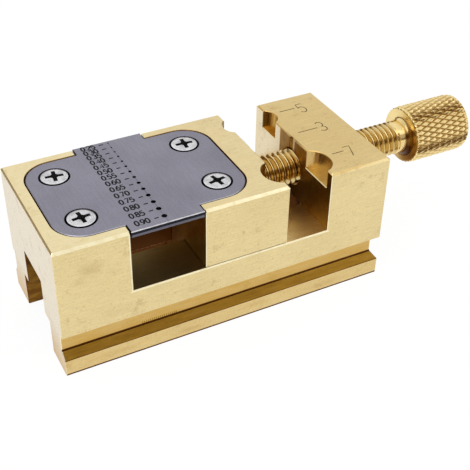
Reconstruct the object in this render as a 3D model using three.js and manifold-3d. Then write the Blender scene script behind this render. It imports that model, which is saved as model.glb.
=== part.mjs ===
// Small brass hand vise for holding watch hands, tubes and pins by their diameter.
// Millimetres. +X runs from the fixed block to the knurled knob, -Y is the front, +Z is up.
// The origin is under the middle of the whole vise, on the surface that it stands on.
// The vise is shown closed: the two steel plates meet at their seam.

import * as THREE from "three";
import { mergeVertices } from "three/addons/utils/BufferGeometryUtils.js";
import Module from "manifold-3d";

const wasm = await Module();
wasm.setup();

// Body: a brass block with a fixed block, two rails and a tapped screw block.
// blockHeight is how far the blocks and the jaw stand above the rails.
const bodyWidth = 25;
const fixedBlockLength = 11.8;
const screwBlockLength = 11.1;
const bodyHeight = 23.7;
const blockHeight = 10.9;
const topChamfer = 0.4;
const endChamfer = 0.25;

// Side grooves that let a larger bench vise grip the body, and the foot flange under them
const grooveTopHeight = 7.65;
const grooveWallFootHeight = 4.5;
const flangeThickness = 3;
const grooveDepth = 1.1;

// Stepped slot along the underside, which guides the moving jaw
const slotWidth = 8.2;
const undercutWidth = 12.6;
const ledgeHeight = 6.35;
const slotEndMargin = 0.3;

// Moving jaw and the travel that it has before it meets the screw block
const jawLength = 14.5;
const jawTravel = 7.3;
const jawStopMargin = 0.3;
const slideClearance = 0.1;
const tongueInset = 1.5;

// Keeper plate that runs under the ledges and holds the jaw down
const keeperThickness = 3;
const keeperScrewSpacing = 6;

// Steel plates let into the tops of the fixed block and of the moving jaw
const plateThickness = 1.1;
const plateOverhang = 6.03;
const plateFaceChamfer = 0.12;
const pocketEndWall = 2.05;
const pocketSideWall = 1.85;
const pocketCornerRadius = 5;
const pocketGap = 0.15;
const earGap = 0.15;
const seatGap = 0.02;
const seamGap = 0.04;

// Graduated gauge holes, split along the seam between the plates
const gaugeLargestDiameter = 0.9;
const gaugeSmallestDiameter = 0.25;
const gaugeDiameterStep = 0.05;
const gaugeWeb = 1.16;
const gaugeFrontMargin = 1.2;

// Half-round seats in the facing sides of the jaw and the screw block
const seatDiameters = [7, 3, 5];
const seatSideMargin = 1.15;
const seatDepth = 3.3;
const seatCentreOffset = 1.25;

// Countersunk screws with a cross recess
const plateScrew = {
  headDiameter: 4.6,
  shankDiameter: 2.4,
  domeHeight: 0.2,
  length: 5.6,
  pointChamfer: 0.4,
  headClearance: 0.2,
  shankClearance: 0.12,
  recessArmWidth: 0.75,
  recessSpan: 3,
  recessDepth: 0.8,
};
const keeperScrew = {
  headDiameter: 4.2,
  shankDiameter: 2.2,
  domeHeight: 0,
  length: 7,
  pointChamfer: 0.4,
  headClearance: 0.15,
  shankClearance: 0.12,
  recessArmWidth: 0.7,
  recessSpan: 2.4,
  recessDepth: 0.8,
};
const plateScrewSetback = 5.05;
const plateScrewSpacing = 12.1;
const screwHoleSpare = 0.6;
const recessTurnsDegrees = [5, -8, 11, -4];

// Thumb screw: threaded shank, journal that turns in the jaw, neck and knurled knob.
// Its axis lies this far below the body's top.
const screwAxisDepth = 5.5;
const threadDiameter = 5.9;
const threadClearance = 0.12;
const threadMouthChamfer = 0.3;
const threadEndChamfer = 0.5;
const threadEntryIntoJaw = 5;
const threadBeyondBlock = 9.4;
const journalDiameter = 4;
const journalLength = 6.4;
const journalClearance = 0.1;
const journalEndClearance = 0.3;
const journalEndChamfer = 0.3;
const shoulderClearance = 0.1;
const neckLength = 2.3;
const neckFlare = 0.85;
const knobDiameter = 10.2;
const knobLength = 11.5;
const knobFaceRounding = 0.6;
const knobEndRounding = 0.6;

// Diamond knurl on the knob: two sets of helical grooves that cross.
// knurlSpacing is from groove to groove round the knob, and knurlPitch along it.
const knurlSpacing = 0.97;
const knurlPitch = 2.58;
const knurlDepth = 0.3;
const knurlTurnDegrees = 2;

// Dog-point set screw that holds the journal in the jaw
const setScrewDiameter = 3;
const setScrewClearance = 0.1;
const setScrewSetback = 3.2;
const setScrewCoverGap = 0.25;
const setScrewSlotWidth = 0.5;
const setScrewSlotDepth = 0.7;
const setScrewShoulderGap = 0.3;
const dogDiameter = 1.3;
const dogGap = 0.12;
const journalGrooveWidth = 1.6;
const journalGrooveDepth = 0.6;

// Cutters run past what they cut by this much
const overrun = 1;

// Facets round a circle
const roundFacets = 48;
const holeFacets = 32;
const smallFacets = 24;
const gaugeFacets = 16;
const cornerFacets = 10;
const roundingFacets = 2;

// Heights above the surface that the vise stands on, which follow the body's top
const railTopHeight = bodyHeight - blockHeight;
const screwAxisHeight = bodyHeight - screwAxisDepth;

// Plate pockets and seats, which leave the stated walls
const pocketLength = fixedBlockLength - pocketEndWall;
const pocketWidth = bodyWidth - 2 * pocketSideWall;
const seatSpacing = bodyWidth / 2 - seatSideMargin - Math.max(...seatDiameters) / 2;

// Places along the body, measured from its left end
const seamStart = fixedBlockLength + plateOverhang;
const jawStart = seamStart + seamGap + plateOverhang;
const jawEnd = jawStart + jawLength;
const screwBlockStart = jawEnd + jawTravel + jawStopMargin;
const bodyLength = screwBlockStart + screwBlockLength;
const tongueEnd = jawEnd - tongueInset;
const slotStraightEnd = tongueEnd + jawTravel + slotEndMargin;
const pocketFloorHeight = bodyHeight - plateThickness - seatGap;

// Places along the thumb screw, measured from the body's left end
const jawShoulder = jawEnd - threadEntryIntoJaw;
const screwShoulder = jawShoulder + shoulderClearance;
const journalTip = screwShoulder - journalLength;
const threadEnd = bodyLength + threadBeyondBlock;
const knobFace = threadEnd + neckLength;
const knobEnd = knobFace + knobLength;
const setScrewPlace = jawShoulder - setScrewSetback;
const overallLength = knobEnd;

const brass = new THREE.MeshStandardMaterial({ color: 0xd9c27c, roughness: 0.42, metalness: 0.85 });
const turnedBrass = new THREE.MeshStandardMaterial({ color: 0xcda455, roughness: 0.3, metalness: 0.95 });
const plateSteel = new THREE.MeshStandardMaterial({ color: 0x84848f, roughness: 0.5, metalness: 0.6 });
const brightSteel = new THREE.MeshStandardMaterial({ color: 0xd6d6d8, roughness: 0.25, metalness: 0.95 });
const darkSteel = new THREE.MeshStandardMaterial({ color: 0x55565a, roughness: 0.5, metalness: 0.8 });

// A closed three.js geometry as a solid that can be joined and cut
function solidOf(geometry) {
  const bare = new THREE.BufferGeometry();
  bare.setAttribute("position", geometry.getAttribute("position").clone());
  if (geometry.index) bare.setIndex(geometry.index.clone());
  const merged = mergeVertices(bare);
  return new wasm.Manifold(
    new wasm.Mesh({
      numProp: 3,
      vertProperties: new Float32Array(merged.getAttribute("position").array),
      triVerts: new Uint32Array(merged.index.array),
    })
  );
}

// A finished solid as a named mesh with its own material
function pieceOf(name, solid, material) {
  const mesh = solid.getMesh();
  const geometry = new THREE.BufferGeometry();
  geometry.setAttribute("position", new THREE.BufferAttribute(mesh.vertProperties, 3));
  geometry.setIndex(new THREE.BufferAttribute(mesh.triVerts, 1));
  geometry.computeVertexNormals();
  const piece = new THREE.Mesh(geometry, material.clone());
  piece.name = name;
  return piece;
}

function joined(solids) {
  return solids.reduce((whole, solid) => whole.add(solid));
}

function cutBy(solid, cutters) {
  return cutters.reduce((rest, cutter) => rest.subtract(cutter), solid);
}

function outline(points) {
  return new THREE.Shape(points.map(([across, along]) => new THREE.Vector2(across, along)));
}

function extruded(shape, depth, curveFacets = cornerFacets) {
  return new THREE.ExtrudeGeometry(shape, { depth, bevelEnabled: false, curveSegments: curveFacets });
}

// Outline in X and Y, raised from a height along +Z
function raised(shape, bottom, top) {
  return solidOf(extruded(shape, top - bottom).translate(0, 0, bottom));
}

// Outline in Y and Z, drawn out along +X
function drawnAlongX(shape, start, end) {
  const turn = new THREE.Matrix4().makeBasis(
    new THREE.Vector3(0, 1, 0),
    new THREE.Vector3(0, 0, 1),
    new THREE.Vector3(1, 0, 0)
  );
  return solidOf(extruded(shape, end - start).applyMatrix4(turn).translate(start, 0, 0));
}

// Outline in X and Z, drawn out evenly to both sides of the middle plane
function drawnAcross(shape, width) {
  const turn = new THREE.Matrix4().makeBasis(
    new THREE.Vector3(1, 0, 0),
    new THREE.Vector3(0, 0, 1),
    new THREE.Vector3(0, -1, 0)
  );
  return solidOf(extruded(shape, width).applyMatrix4(turn).translate(0, width / 2, 0));
}

// Upright round pin or hole between two heights
function uprightRound(x, y, radius, bottom, top, facets) {
  const height = top - bottom;
  const pin = new THREE.CylinderGeometry(radius, radius, height, facets);
  return solidOf(pin.rotateX(Math.PI / 2).translate(x, y, bottom + height / 2));
}

// Upright cone between two heights
function uprightCone(x, y, bottomRadius, topRadius, bottom, top, facets) {
  const height = top - bottom;
  const cone = new THREE.CylinderGeometry(topRadius, bottomRadius, height, facets);
  return solidOf(cone.rotateX(Math.PI / 2).translate(x, y, bottom + height / 2));
}

// Solid turned about the screw's axis from [radius, place along X] points, which start and end on the axis
function turnedOnScrewAxis(profile) {
  const points = profile.map(([radius, along]) => new THREE.Vector2(radius, along));
  const round = new THREE.LatheGeometry(points, roundFacets);
  return solidOf(round.rotateZ(-Math.PI / 2).translate(0, 0, screwAxisHeight));
}

// Closed solid through rings of points about the screw's axis. Every four-sided patch is folded between its
// two lower corners, which keeps the floors of crossing grooves straight.
function loftedOnScrewAxis(rings, turn) {
  const count = rings[0].radii.length;
  const corners = rings.flatMap(({ place, radii }) =>
    radii.flatMap((radius, step) => {
      const angle = turn + (2 * Math.PI * step) / count;
      return [place, -radius * Math.cos(angle), screwAxisHeight + radius * Math.sin(angle)];
    })
  );
  const centres = [rings[0], rings[rings.length - 1]].flatMap(({ place }) => [place, 0, screwAxisHeight]);
  const startCentre = rings.length * count;
  const lastRing = startCentre - count;
  const faces = [];
  for (let step = 0; step < count; step += 1) {
    const next = (step + 1) % count;
    faces.push(startCentre, step, next, startCentre + 1, lastRing + next, lastRing + step);
    rings.slice(1).forEach(({ radii }, index) => {
      const before = rings[index].radii;
      const near = index * count;
      const far = near + count;
      const [here, ahead, across, beside] = [near + step, far + step, far + next, near + next];
      const foldsAcross = before[step] + radii[next] <= before[next] + radii[step];
      if (foldsAcross) faces.push(here, ahead, across, here, across, beside);
      else faces.push(here, ahead, beside, ahead, across, beside);
    });
  }
  const shell = new THREE.BufferGeometry();
  shell.setAttribute("position", new THREE.Float32BufferAttribute([...corners, ...centres], 3));
  shell.setIndex(faces);
  return solidOf(shell);
}

// Stadium-ended slot outline: straight from the left end, with a round milled end
function milledSlot(width) {
  const half = width / 2;
  const shape = new THREE.Shape();
  shape.moveTo(-overrun, -half);
  shape.lineTo(slotStraightEnd, -half);
  shape.absarc(slotStraightEnd, 0, half, -Math.PI / 2, Math.PI / 2, false);
  shape.lineTo(-overrun, half);
  shape.closePath();
  return shape;
}

// Outline of a plate's pocket, or of the plate in it: one open end and two round corners.
// reach is how far it goes back from the block's face, and mouth is how far it runs past that face.
function pocketOutline(reach, width, corner, mouth) {
  const half = width / 2;
  const shape = new THREE.Shape();
  shape.moveTo(mouth, -half);
  shape.lineTo(mouth, half);
  shape.lineTo(-reach + corner, half);
  shape.absarc(-reach + corner, half - corner, corner, Math.PI / 2, Math.PI, false);
  shape.absarc(-reach + corner, -half + corner, corner, Math.PI, (3 * Math.PI) / 2, false);
  shape.closePath();
  return shape;
}

// Half-round seats, cut down from the top beside a face that looks along the given side
function seatCutters(face, side) {
  return seatDiameters.map((diameter, index) =>
    uprightRound(
      face + side * seatCentreOffset,
      (index - (seatDiameters.length - 1) / 2) * seatSpacing,
      diameter / 2,
      bodyHeight - seatDepth,
      bodyHeight + overrun,
      holeFacets
    )
  );
}

// Bore for the thread, with a small countersink that opens towards the given side of each mouth
function threadBore(start, end, mouths) {
  const radius = threadDiameter / 2 + threadClearance;
  const bore = turnedOnScrewAxis([
    [0, start],
    [radius, start],
    [radius, end],
    [0, end],
  ]);
  const countersinks = mouths.map(({ place, side }) => {
    const cone = [
      [radius, place - side * threadMouthChamfer],
      [radius + threadMouthChamfer, place],
    ].sort((one, other) => one[1] - other[1]);
    return turnedOnScrewAxis([[0, cone[0][1]], ...cone, [0, cone[1][1]]]);
  });
  return joined([bore, ...countersinks]);
}

// Heights of the tapped holes under the plate screws
const plateScrewHoleFoot = bodyHeight - plateScrew.length - screwHoleSpare;

function plateScrewHole(x, y) {
  const radius = plateScrew.shankDiameter / 2 + plateScrew.shankClearance;
  return uprightRound(x, y, radius, plateScrewHoleFoot, bodyHeight, smallFacets);
}

const plateScrewRows = [-plateScrewSpacing / 2, plateScrewSpacing / 2];

// End view of a block with side grooves above a foot flange and broken top edges
function bodyEndOutline() {
  const half = bodyWidth / 2;
  const right = [
    [half, 0],
    [half, flangeThickness],
    [half - grooveDepth, grooveWallFootHeight],
    [half - grooveDepth, grooveTopHeight],
    [half, grooveTopHeight],
    [half, bodyHeight - topChamfer],
    [half - topChamfer, bodyHeight],
  ];
  const left = right.map(([y, z]) => [-y, z]).reverse();
  return outline([...right, ...left]);
}

// Side view: two blocks standing on the rails, with the groove carried round the right end
function bodySideOutline() {
  return outline([
    [0, 0],
    [bodyLength, 0],
    [bodyLength, flangeThickness],
    [bodyLength - grooveDepth, grooveWallFootHeight],
    [bodyLength - grooveDepth, grooveTopHeight],
    [bodyLength, grooveTopHeight],
    [bodyLength, bodyHeight - endChamfer],
    [bodyLength - endChamfer, bodyHeight],
    [screwBlockStart + endChamfer, bodyHeight],
    [screwBlockStart, bodyHeight - endChamfer],
    [screwBlockStart, railTopHeight],
    [fixedBlockLength, railTopHeight],
    [fixedBlockLength, bodyHeight],
    [endChamfer, bodyHeight],
    [0, bodyHeight - endChamfer],
  ]);
}

function viseBody() {
  const block = drawnAlongX(bodyEndOutline(), 0, bodyLength).intersect(
    drawnAcross(bodySideOutline(), bodyWidth + overrun)
  );
  const pocket = raised(
    pocketOutline(pocketLength, pocketWidth, pocketCornerRadius, overrun),
    pocketFloorHeight,
    bodyHeight + overrun
  ).translate([fixedBlockLength, 0, 0]);
  const screwHoles = plateScrewRows.map((y) => plateScrewHole(fixedBlockLength - plateScrewSetback, y));
  return cutBy(block, [
    raised(milledSlot(slotWidth), -overrun, railTopHeight),
    raised(milledSlot(undercutWidth), -overrun, ledgeHeight),
    pocket,
    ...screwHoles,
    ...seatCutters(screwBlockStart, -1),
    threadBore(screwBlockStart - overrun, bodyLength + overrun, [
      { place: screwBlockStart, side: -1 },
      { place: bodyLength, side: 1 },
    ]),
  ]);
}

// Size and place of the tongue under the jaw and of the keeper plate below it
const tongueWidth = slotWidth - 2 * slideClearance;
const tongueFoot = ledgeHeight - slideClearance;
const tongueStart = jawStart + tongueInset;
const tongueMiddle = (tongueStart + tongueEnd) / 2;
const keeperTop = tongueFoot - seatGap;
const keeperBottom = keeperTop - keeperThickness;
const keeperScrewPlaces = [-keeperScrewSpacing / 2, keeperScrewSpacing / 2].map((x) => tongueMiddle + x);

function jawBlock() {
  const half = bodyWidth / 2;
  const foot = railTopHeight + slideClearance;
  const endView = outline([
    [-half, foot],
    [half, foot],
    [half, bodyHeight - topChamfer],
    [half - topChamfer, bodyHeight],
    [-half + topChamfer, bodyHeight],
    [-half, bodyHeight - topChamfer],
  ]);
  const sideView = outline([
    [jawStart, foot],
    [jawEnd, foot],
    [jawEnd, bodyHeight - endChamfer],
    [jawEnd - endChamfer, bodyHeight],
    [jawStart, bodyHeight],
  ]);
  return drawnAlongX(endView, jawStart, jawEnd).intersect(drawnAcross(sideView, bodyWidth + overrun));
}

function tongue() {
  const half = tongueWidth / 2;
  const view = outline([
    [-half, tongueFoot],
    [half, tongueFoot],
    [half, railTopHeight + overrun],
    [-half, railTopHeight + overrun],
  ]);
  return drawnAlongX(view, tongueStart, tongueEnd);
}

function movingJaw() {
  const pocket = raised(
    pocketOutline(pocketLength, pocketWidth, pocketCornerRadius, overrun),
    pocketFloorHeight,
    bodyHeight + overrun
  )
    .mirror([1, 0, 0])
    .translate([jawStart, 0, 0]);
  const screwHoles = plateScrewRows.map((y) => plateScrewHole(jawStart + plateScrewSetback, y));
  const keeperHoleRadius = keeperScrew.shankDiameter / 2 + keeperScrew.shankClearance;
  const keeperHoles = keeperScrewPlaces.map((x) =>
    uprightRound(
      x,
      0,
      keeperHoleRadius,
      tongueFoot - overrun,
      keeperBottom + keeperScrew.length + screwHoleSpare,
      smallFacets
    )
  );
  const journalRadius = journalDiameter / 2 + journalClearance;
  const journalBore = turnedOnScrewAxis([
    [0, journalTip - journalEndClearance],
    [journalRadius, journalTip - journalEndClearance],
    [journalRadius, jawEnd],
    [0, jawEnd],
  ]);
  const setScrewHole = uprightRound(
    setScrewPlace,
    0,
    setScrewDiameter / 2 + setScrewClearance,
    screwAxisHeight,
    bodyHeight,
    smallFacets
  );
  return cutBy(jawBlock().add(tongue()), [
    pocket,
    ...screwHoles,
    ...keeperHoles,
    ...seatCutters(jawEnd, 1),
    threadBore(jawShoulder, jawEnd + overrun, [{ place: jawEnd, side: 1 }]),
    journalBore,
    setScrewHole,
  ]);
}

// Gauge holes from the front of the seam to its back, with an even web between them
function gaugeHoles() {
  const steps = Math.round((gaugeLargestDiameter - gaugeSmallestDiameter) / gaugeDiameterStep);
  const holes = [];
  let edge = -bodyWidth / 2 + gaugeFrontMargin;
  for (let step = 0; step <= steps; step += 1) {
    const diameter = gaugeLargestDiameter - step * gaugeDiameterStep;
    holes.push({ diameter, y: edge + diameter / 2 });
    edge += diameter + gaugeWeb;
  }
  return holes;
}

// Steel plate in the frame of its block's face: the pocketed end lies along -X and the ears overhang along +X
function clampPlateSolid() {
  const bottom = pocketFloorHeight + seatGap;
  const half = bodyWidth / 2;
  const shank = raised(
    pocketOutline(pocketLength - pocketGap, pocketWidth - 2 * pocketGap, pocketCornerRadius - pocketGap, earGap),
    bottom,
    bodyHeight
  );
  const ear = drawnAlongX(
    outline([
      [-half, bottom],
      [half, bottom],
      [half, bodyHeight - plateFaceChamfer],
      [half - plateFaceChamfer, bodyHeight],
      [-half + plateFaceChamfer, bodyHeight],
      [-half, bodyHeight - plateFaceChamfer],
    ]),
    earGap,
    plateOverhang
  );
  const countersinks = plateScrewRows.flatMap((y) => {
    const headRadius = plateScrew.headDiameter / 2 + plateScrew.headClearance;
    const holeRadius = plateScrew.shankDiameter / 2 + plateScrew.shankClearance;
    const coneFoot = bodyHeight - (headRadius - holeRadius);
    return [
      uprightRound(-plateScrewSetback, y, holeRadius, bottom - overrun, bodyHeight + overrun, smallFacets),
      uprightCone(
        -plateScrewSetback,
        y,
        holeRadius,
        headRadius + overrun,
        coneFoot,
        bodyHeight + overrun,
        holeFacets
      ),
    ];
  });
  const halfHoles = gaugeHoles().map(({ diameter, y }) =>
    uprightRound(
      plateOverhang + seamGap / 2,
      y,
      diameter / 2,
      bottom - overrun,
      bodyHeight + overrun,
      gaugeFacets
    )
  );
  return cutBy(shank.add(ear), [...countersinks, ...halfHoles]);
}

// Countersunk screw standing upright with the rim of its head at height zero
function countersunkScrew(spec, recessTurn) {
  const headRadius = spec.headDiameter / 2;
  const shankRadius = spec.shankDiameter / 2;
  const coneHeight = headRadius - shankRadius;
  const profile = [
    new THREE.Vector2(0, -spec.length),
    new THREE.Vector2(shankRadius - spec.pointChamfer, -spec.length),
    new THREE.Vector2(shankRadius, -spec.length + spec.pointChamfer),
    new THREE.Vector2(shankRadius, -coneHeight),
    new THREE.Vector2(headRadius, 0),
  ];
  if (spec.domeHeight > 0) {
    profile.push(new THREE.Vector2(headRadius / 2, (spec.domeHeight * 3) / 4));
  }
  profile.push(new THREE.Vector2(0, spec.domeHeight));
  const body = solidOf(new THREE.LatheGeometry(profile, smallFacets).rotateX(Math.PI / 2));
  const arms = [0, Math.PI / 2].map((quarter) => {
    const foot = outline([
      [-spec.recessSpan / 2, overrun],
      [-spec.recessSpan / 2, spec.domeHeight],
      [-spec.recessSpan / 4, spec.domeHeight - spec.recessDepth],
      [spec.recessSpan / 4, spec.domeHeight - spec.recessDepth],
      [spec.recessSpan / 2, spec.domeHeight],
      [spec.recessSpan / 2, overrun],
    ]);
    return drawnAcross(foot, spec.recessArmWidth).rotate([0, 0, THREE.MathUtils.radToDeg(quarter + recessTurn)]);
  });
  return cutBy(body, arms);
}

function keeperPlate() {
  const half = undercutWidth / 2 - slideClearance;
  const view = outline([
    [-half, keeperBottom],
    [half, keeperBottom],
    [half, keeperTop],
    [-half, keeperTop],
  ]);
  const cutters = keeperScrewPlaces.flatMap((x) => {
    const headRadius = keeperScrew.headDiameter / 2 + keeperScrew.headClearance;
    const holeRadius = keeperScrew.shankDiameter / 2 + keeperScrew.shankClearance;
    const coneTop = keeperBottom + (headRadius - holeRadius);
    return [
      uprightRound(x, 0, holeRadius, keeperBottom - overrun, keeperTop + overrun, smallFacets),
      uprightCone(x, 0, headRadius + overrun, holeRadius, keeperBottom - overrun, coneTop, smallFacets),
    ];
  });
  return cutBy(drawnAlongX(view, tongueStart, tongueEnd), cutters);
}

function setScrew() {
  const radius = setScrewDiameter / 2;
  const top = pocketFloorHeight - setScrewCoverGap;
  const dogTip = screwAxisHeight + journalDiameter / 2 - journalGrooveDepth + dogGap;
  const shoulder = screwAxisHeight + journalDiameter / 2 + setScrewShoulderGap;
  const thread = uprightRound(setScrewPlace, 0, radius, shoulder, top, smallFacets);
  const dog = uprightRound(setScrewPlace, 0, dogDiameter / 2, dogTip, shoulder + seatGap, smallFacets);
  const slot = drawnAcross(
    outline([
      [setScrewPlace - setScrewSlotWidth / 2, top - setScrewSlotDepth],
      [setScrewPlace + setScrewSlotWidth / 2, top - setScrewSlotDepth],
      [setScrewPlace + setScrewSlotWidth / 2, top + overrun],
      [setScrewPlace - setScrewSlotWidth / 2, top + overrun],
    ]),
    setScrewDiameter + overrun
  );
  return thread.add(dog).subtract(slot);
}

// Arc as [radius, along] points about a centre, with its angles measured from the axis's own direction
function profileArc(centreRadius, centreAlong, radius, fromAngle, toAngle, steps) {
  return Array.from({ length: steps + 1 }, (_, step) => {
    const angle = fromAngle + ((toAngle - fromAngle) * step) / steps;
    return [centreRadius + radius * Math.sin(angle), centreAlong + radius * Math.cos(angle)];
  });
}

// Knob with its crossing grooves. Crests and groove crossings take turns round each ring and from ring to ring.
function knurledKnob() {
  const crest = knobDiameter / 2;
  const rim = crest - knurlDepth / 2;
  const grooves = Math.round((Math.PI * knobDiameter) / knurlSpacing);
  const barrelStart = knobFace + knobFaceRounding;
  const barrelEnd = knobEnd - knobEndRounding;
  const bands = Math.max(1, Math.round((barrelEnd - barrelStart) / (knurlPitch / 2)));
  const plainRing = ([radius, place]) => ({ place, radii: Array(2 * grooves).fill(Math.min(radius, rim)) });
  const knurledRings = Array.from({ length: bands }, (_, band) => ({
    place: barrelStart + ((band + 0.5) * (barrelEnd - barrelStart)) / bands,
    radii: Array.from({ length: 2 * grooves }, (__, step) => ((band + step) % 2 ? crest : crest - knurlDepth)),
  }));
  const faceEdge = profileArc(
    crest - knobFaceRounding,
    barrelStart,
    knobFaceRounding,
    Math.PI,
    Math.PI / 2,
    roundingFacets
  );
  const endEdge = profileArc(crest - knobEndRounding, barrelEnd, knobEndRounding, Math.PI / 2, 0, roundingFacets);
  return loftedOnScrewAxis(
    [...faceEdge.map(plainRing), ...knurledRings, ...endEdge.map(plainRing)],
    THREE.MathUtils.degToRad(knurlTurnDegrees)
  );
}

function thumbScrew() {
  const threadRadius = threadDiameter / 2;
  const journalRadius = journalDiameter / 2;
  const grooveStart = setScrewPlace - journalGrooveWidth / 2;
  const grooveEnd = setScrewPlace + journalGrooveWidth / 2;
  const neckStraightEnd = knobFace - neckFlare;
  const shank = turnedOnScrewAxis([
    [0, journalTip],
    [journalRadius - journalEndChamfer, journalTip],
    [journalRadius, journalTip + journalEndChamfer],
    [journalRadius, grooveStart],
    [journalRadius - journalGrooveDepth, grooveStart],
    [journalRadius - journalGrooveDepth, grooveEnd],
    [journalRadius, grooveEnd],
    [journalRadius, screwShoulder],
    [threadRadius - threadEndChamfer, screwShoulder],
    [threadRadius, screwShoulder + threadEndChamfer],
    ...profileArc(threadRadius + neckFlare, neckStraightEnd, neckFlare, -Math.PI / 2, 0, cornerFacets / 2),
    [threadRadius + neckFlare, knobFace + knobFaceRounding],
    [0, knobFace + knobFaceRounding],
  ]);
  return shank.add(knurledKnob());
}

// Everything stands in the frame of the body's left end, which is half the overall length from the origin
const handVise = new THREE.Group();
handVise.name = "hand_vise";
handVise.position.x = -overallLength / 2;

handVise.add(pieceOf("vise_body", viseBody(), brass));
handVise.add(pieceOf("moving_jaw", movingJaw(), brass));

const scalePlate = pieceOf("scale_plate", clampPlateSolid(), plateSteel);
scalePlate.position.x = fixedBlockLength;
handVise.add(scalePlate);

const clampPlate = pieceOf("clamp_plate", clampPlateSolid().mirror([1, 0, 0]), plateSteel);
clampPlate.position.x = jawStart;
handVise.add(clampPlate);

const plateScrewPlaces = [
  { name: "scale_plate_screw", x: fixedBlockLength - plateScrewSetback },
  { name: "clamp_plate_screw", x: jawStart + plateScrewSetback },
];
plateScrewPlaces.forEach(({ name, x }, plateIndex) => {
  ["front", "rear"].forEach((row, rowIndex) => {
    const turn = THREE.MathUtils.degToRad(recessTurnsDegrees[2 * plateIndex + rowIndex]);
    const screw = pieceOf(`${name}_${row}`, countersunkScrew(plateScrew, turn), brightSteel);
    screw.position.set(x, plateScrewRows[rowIndex], bodyHeight);
    handVise.add(screw);
  });
});

handVise.add(pieceOf("jaw_keeper", keeperPlate(), brass));
keeperScrewPlaces.forEach((x, index) => {
  const screw = pieceOf(`keeper_screw_${index + 1}`, countersunkScrew(keeperScrew, 0), darkSteel);
  screw.rotation.x = Math.PI;
  screw.position.set(x, 0, keeperBottom);
  handVise.add(screw);
});

handVise.add(pieceOf("thumb_screw", thumbScrew(), turnedBrass));
handVise.add(pieceOf("journal_set_screw", setScrew(), darkSteel));

export default handVise;
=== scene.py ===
"""Looks of a small brass hand vise: milled block and jaw, steel gauge plates and a knurled thumb screw."""
import logging
import math
import time
from dataclasses import dataclass, field, replace
from enum import Enum
from typing import Iterable, Protocol, Sequence

import bmesh
import bpy
from mathutils import Matrix, Vector


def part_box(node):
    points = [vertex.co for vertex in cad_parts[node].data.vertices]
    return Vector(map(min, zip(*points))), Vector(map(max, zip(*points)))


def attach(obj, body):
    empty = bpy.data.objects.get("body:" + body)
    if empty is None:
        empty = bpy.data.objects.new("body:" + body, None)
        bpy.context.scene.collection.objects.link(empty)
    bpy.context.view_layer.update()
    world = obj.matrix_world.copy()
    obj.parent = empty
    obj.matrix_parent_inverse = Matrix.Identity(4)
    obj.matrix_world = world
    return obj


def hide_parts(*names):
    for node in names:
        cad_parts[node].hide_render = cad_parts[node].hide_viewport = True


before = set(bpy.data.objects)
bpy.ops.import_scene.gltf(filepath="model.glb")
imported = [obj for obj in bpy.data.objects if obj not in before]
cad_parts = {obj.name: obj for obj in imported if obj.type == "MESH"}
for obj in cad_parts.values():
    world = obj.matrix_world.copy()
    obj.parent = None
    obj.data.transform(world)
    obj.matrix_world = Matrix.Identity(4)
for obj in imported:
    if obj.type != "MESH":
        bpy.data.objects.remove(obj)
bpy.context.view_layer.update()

LOG = logging.getLogger("hand_vise")
MILLIMETRE = 0.001
CAD_NORMALS = "custom_normal"
SMALLEST_M = 0.0000001
SMALLEST_MM = 0.0001
TOUCHING_MM = 0.001
NORMALS_WEIGHT = 60
CLOSED_WITHIN = 0.1
WELD_WITHIN = 0.001

Point = tuple[float, float]
Span = tuple[float, float]
Triple = tuple[float, float, float]
Colour = tuple[float, float, float, float]
Stops = tuple[Point, ...]
Noise = tuple[float, float, float]
Stroke = list[Point]
Socket = bpy.types.NodeSocket
Sockets = dict[str, Socket]
Inputs = dict[str | int, object]
Geometry = bmesh.types.BMesh


class Body(Enum):
    """Moving bodies of the vise."""

    BASE = "base"
    JAW = "jaw"
    SCREW = "screw"


class Slot(Enum):
    """Material slots of the record."""

    MILLED_BRASS = "milled_brass"
    TURNED_BRASS = "turned_brass"
    PLATE_STEEL = "plate_steel"
    BRIGHT_SCREW = "bright_screw"
    DARK_STEEL = "dark_steel"


class Mark(Enum):
    """Values that a mesh carries for its material."""

    # Corners worn bright, a mark that also paints highlight lines along them
    EDGE = "edge_wear"
    # Painted light: faces made pale as if lit more brightly
    PAINTED_PALE = "dulled"
    # Dirt and painted shade: in hollows, gaps and grooves, and on sides turned from the light
    SOIL_AND_SHADE = "soiled"
    RADIUS = "turning_radius"


class Axis(Enum):
    """Main directions: along the vise, across it and upwards."""

    LENGTH = (1.0, 0.0, 0.0)
    WIDTH = (0.0, 1.0, 0.0)
    HEIGHT = (0.0, 0.0, 1.0)

    def at(self, place: float) -> Vector:
        """Point at a place along the direction."""
        return Vector(self.value) * place


def to_frame() -> Matrix:
    """Way from millimetres at the body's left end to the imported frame."""
    left_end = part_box("vise_body")[0].x
    return Matrix.Translation((left_end, 0.0, 0.0)) @ Matrix.Scale(MILLIMETRE, 4)


def rgb(red: float, green: float, blue: float) -> Colour:
    """Opaque colour from its linear parts."""
    return (red, green, blue, 1.0)


WHITE = rgb(1.0, 1.0, 1.0)


# Nodes


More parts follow.
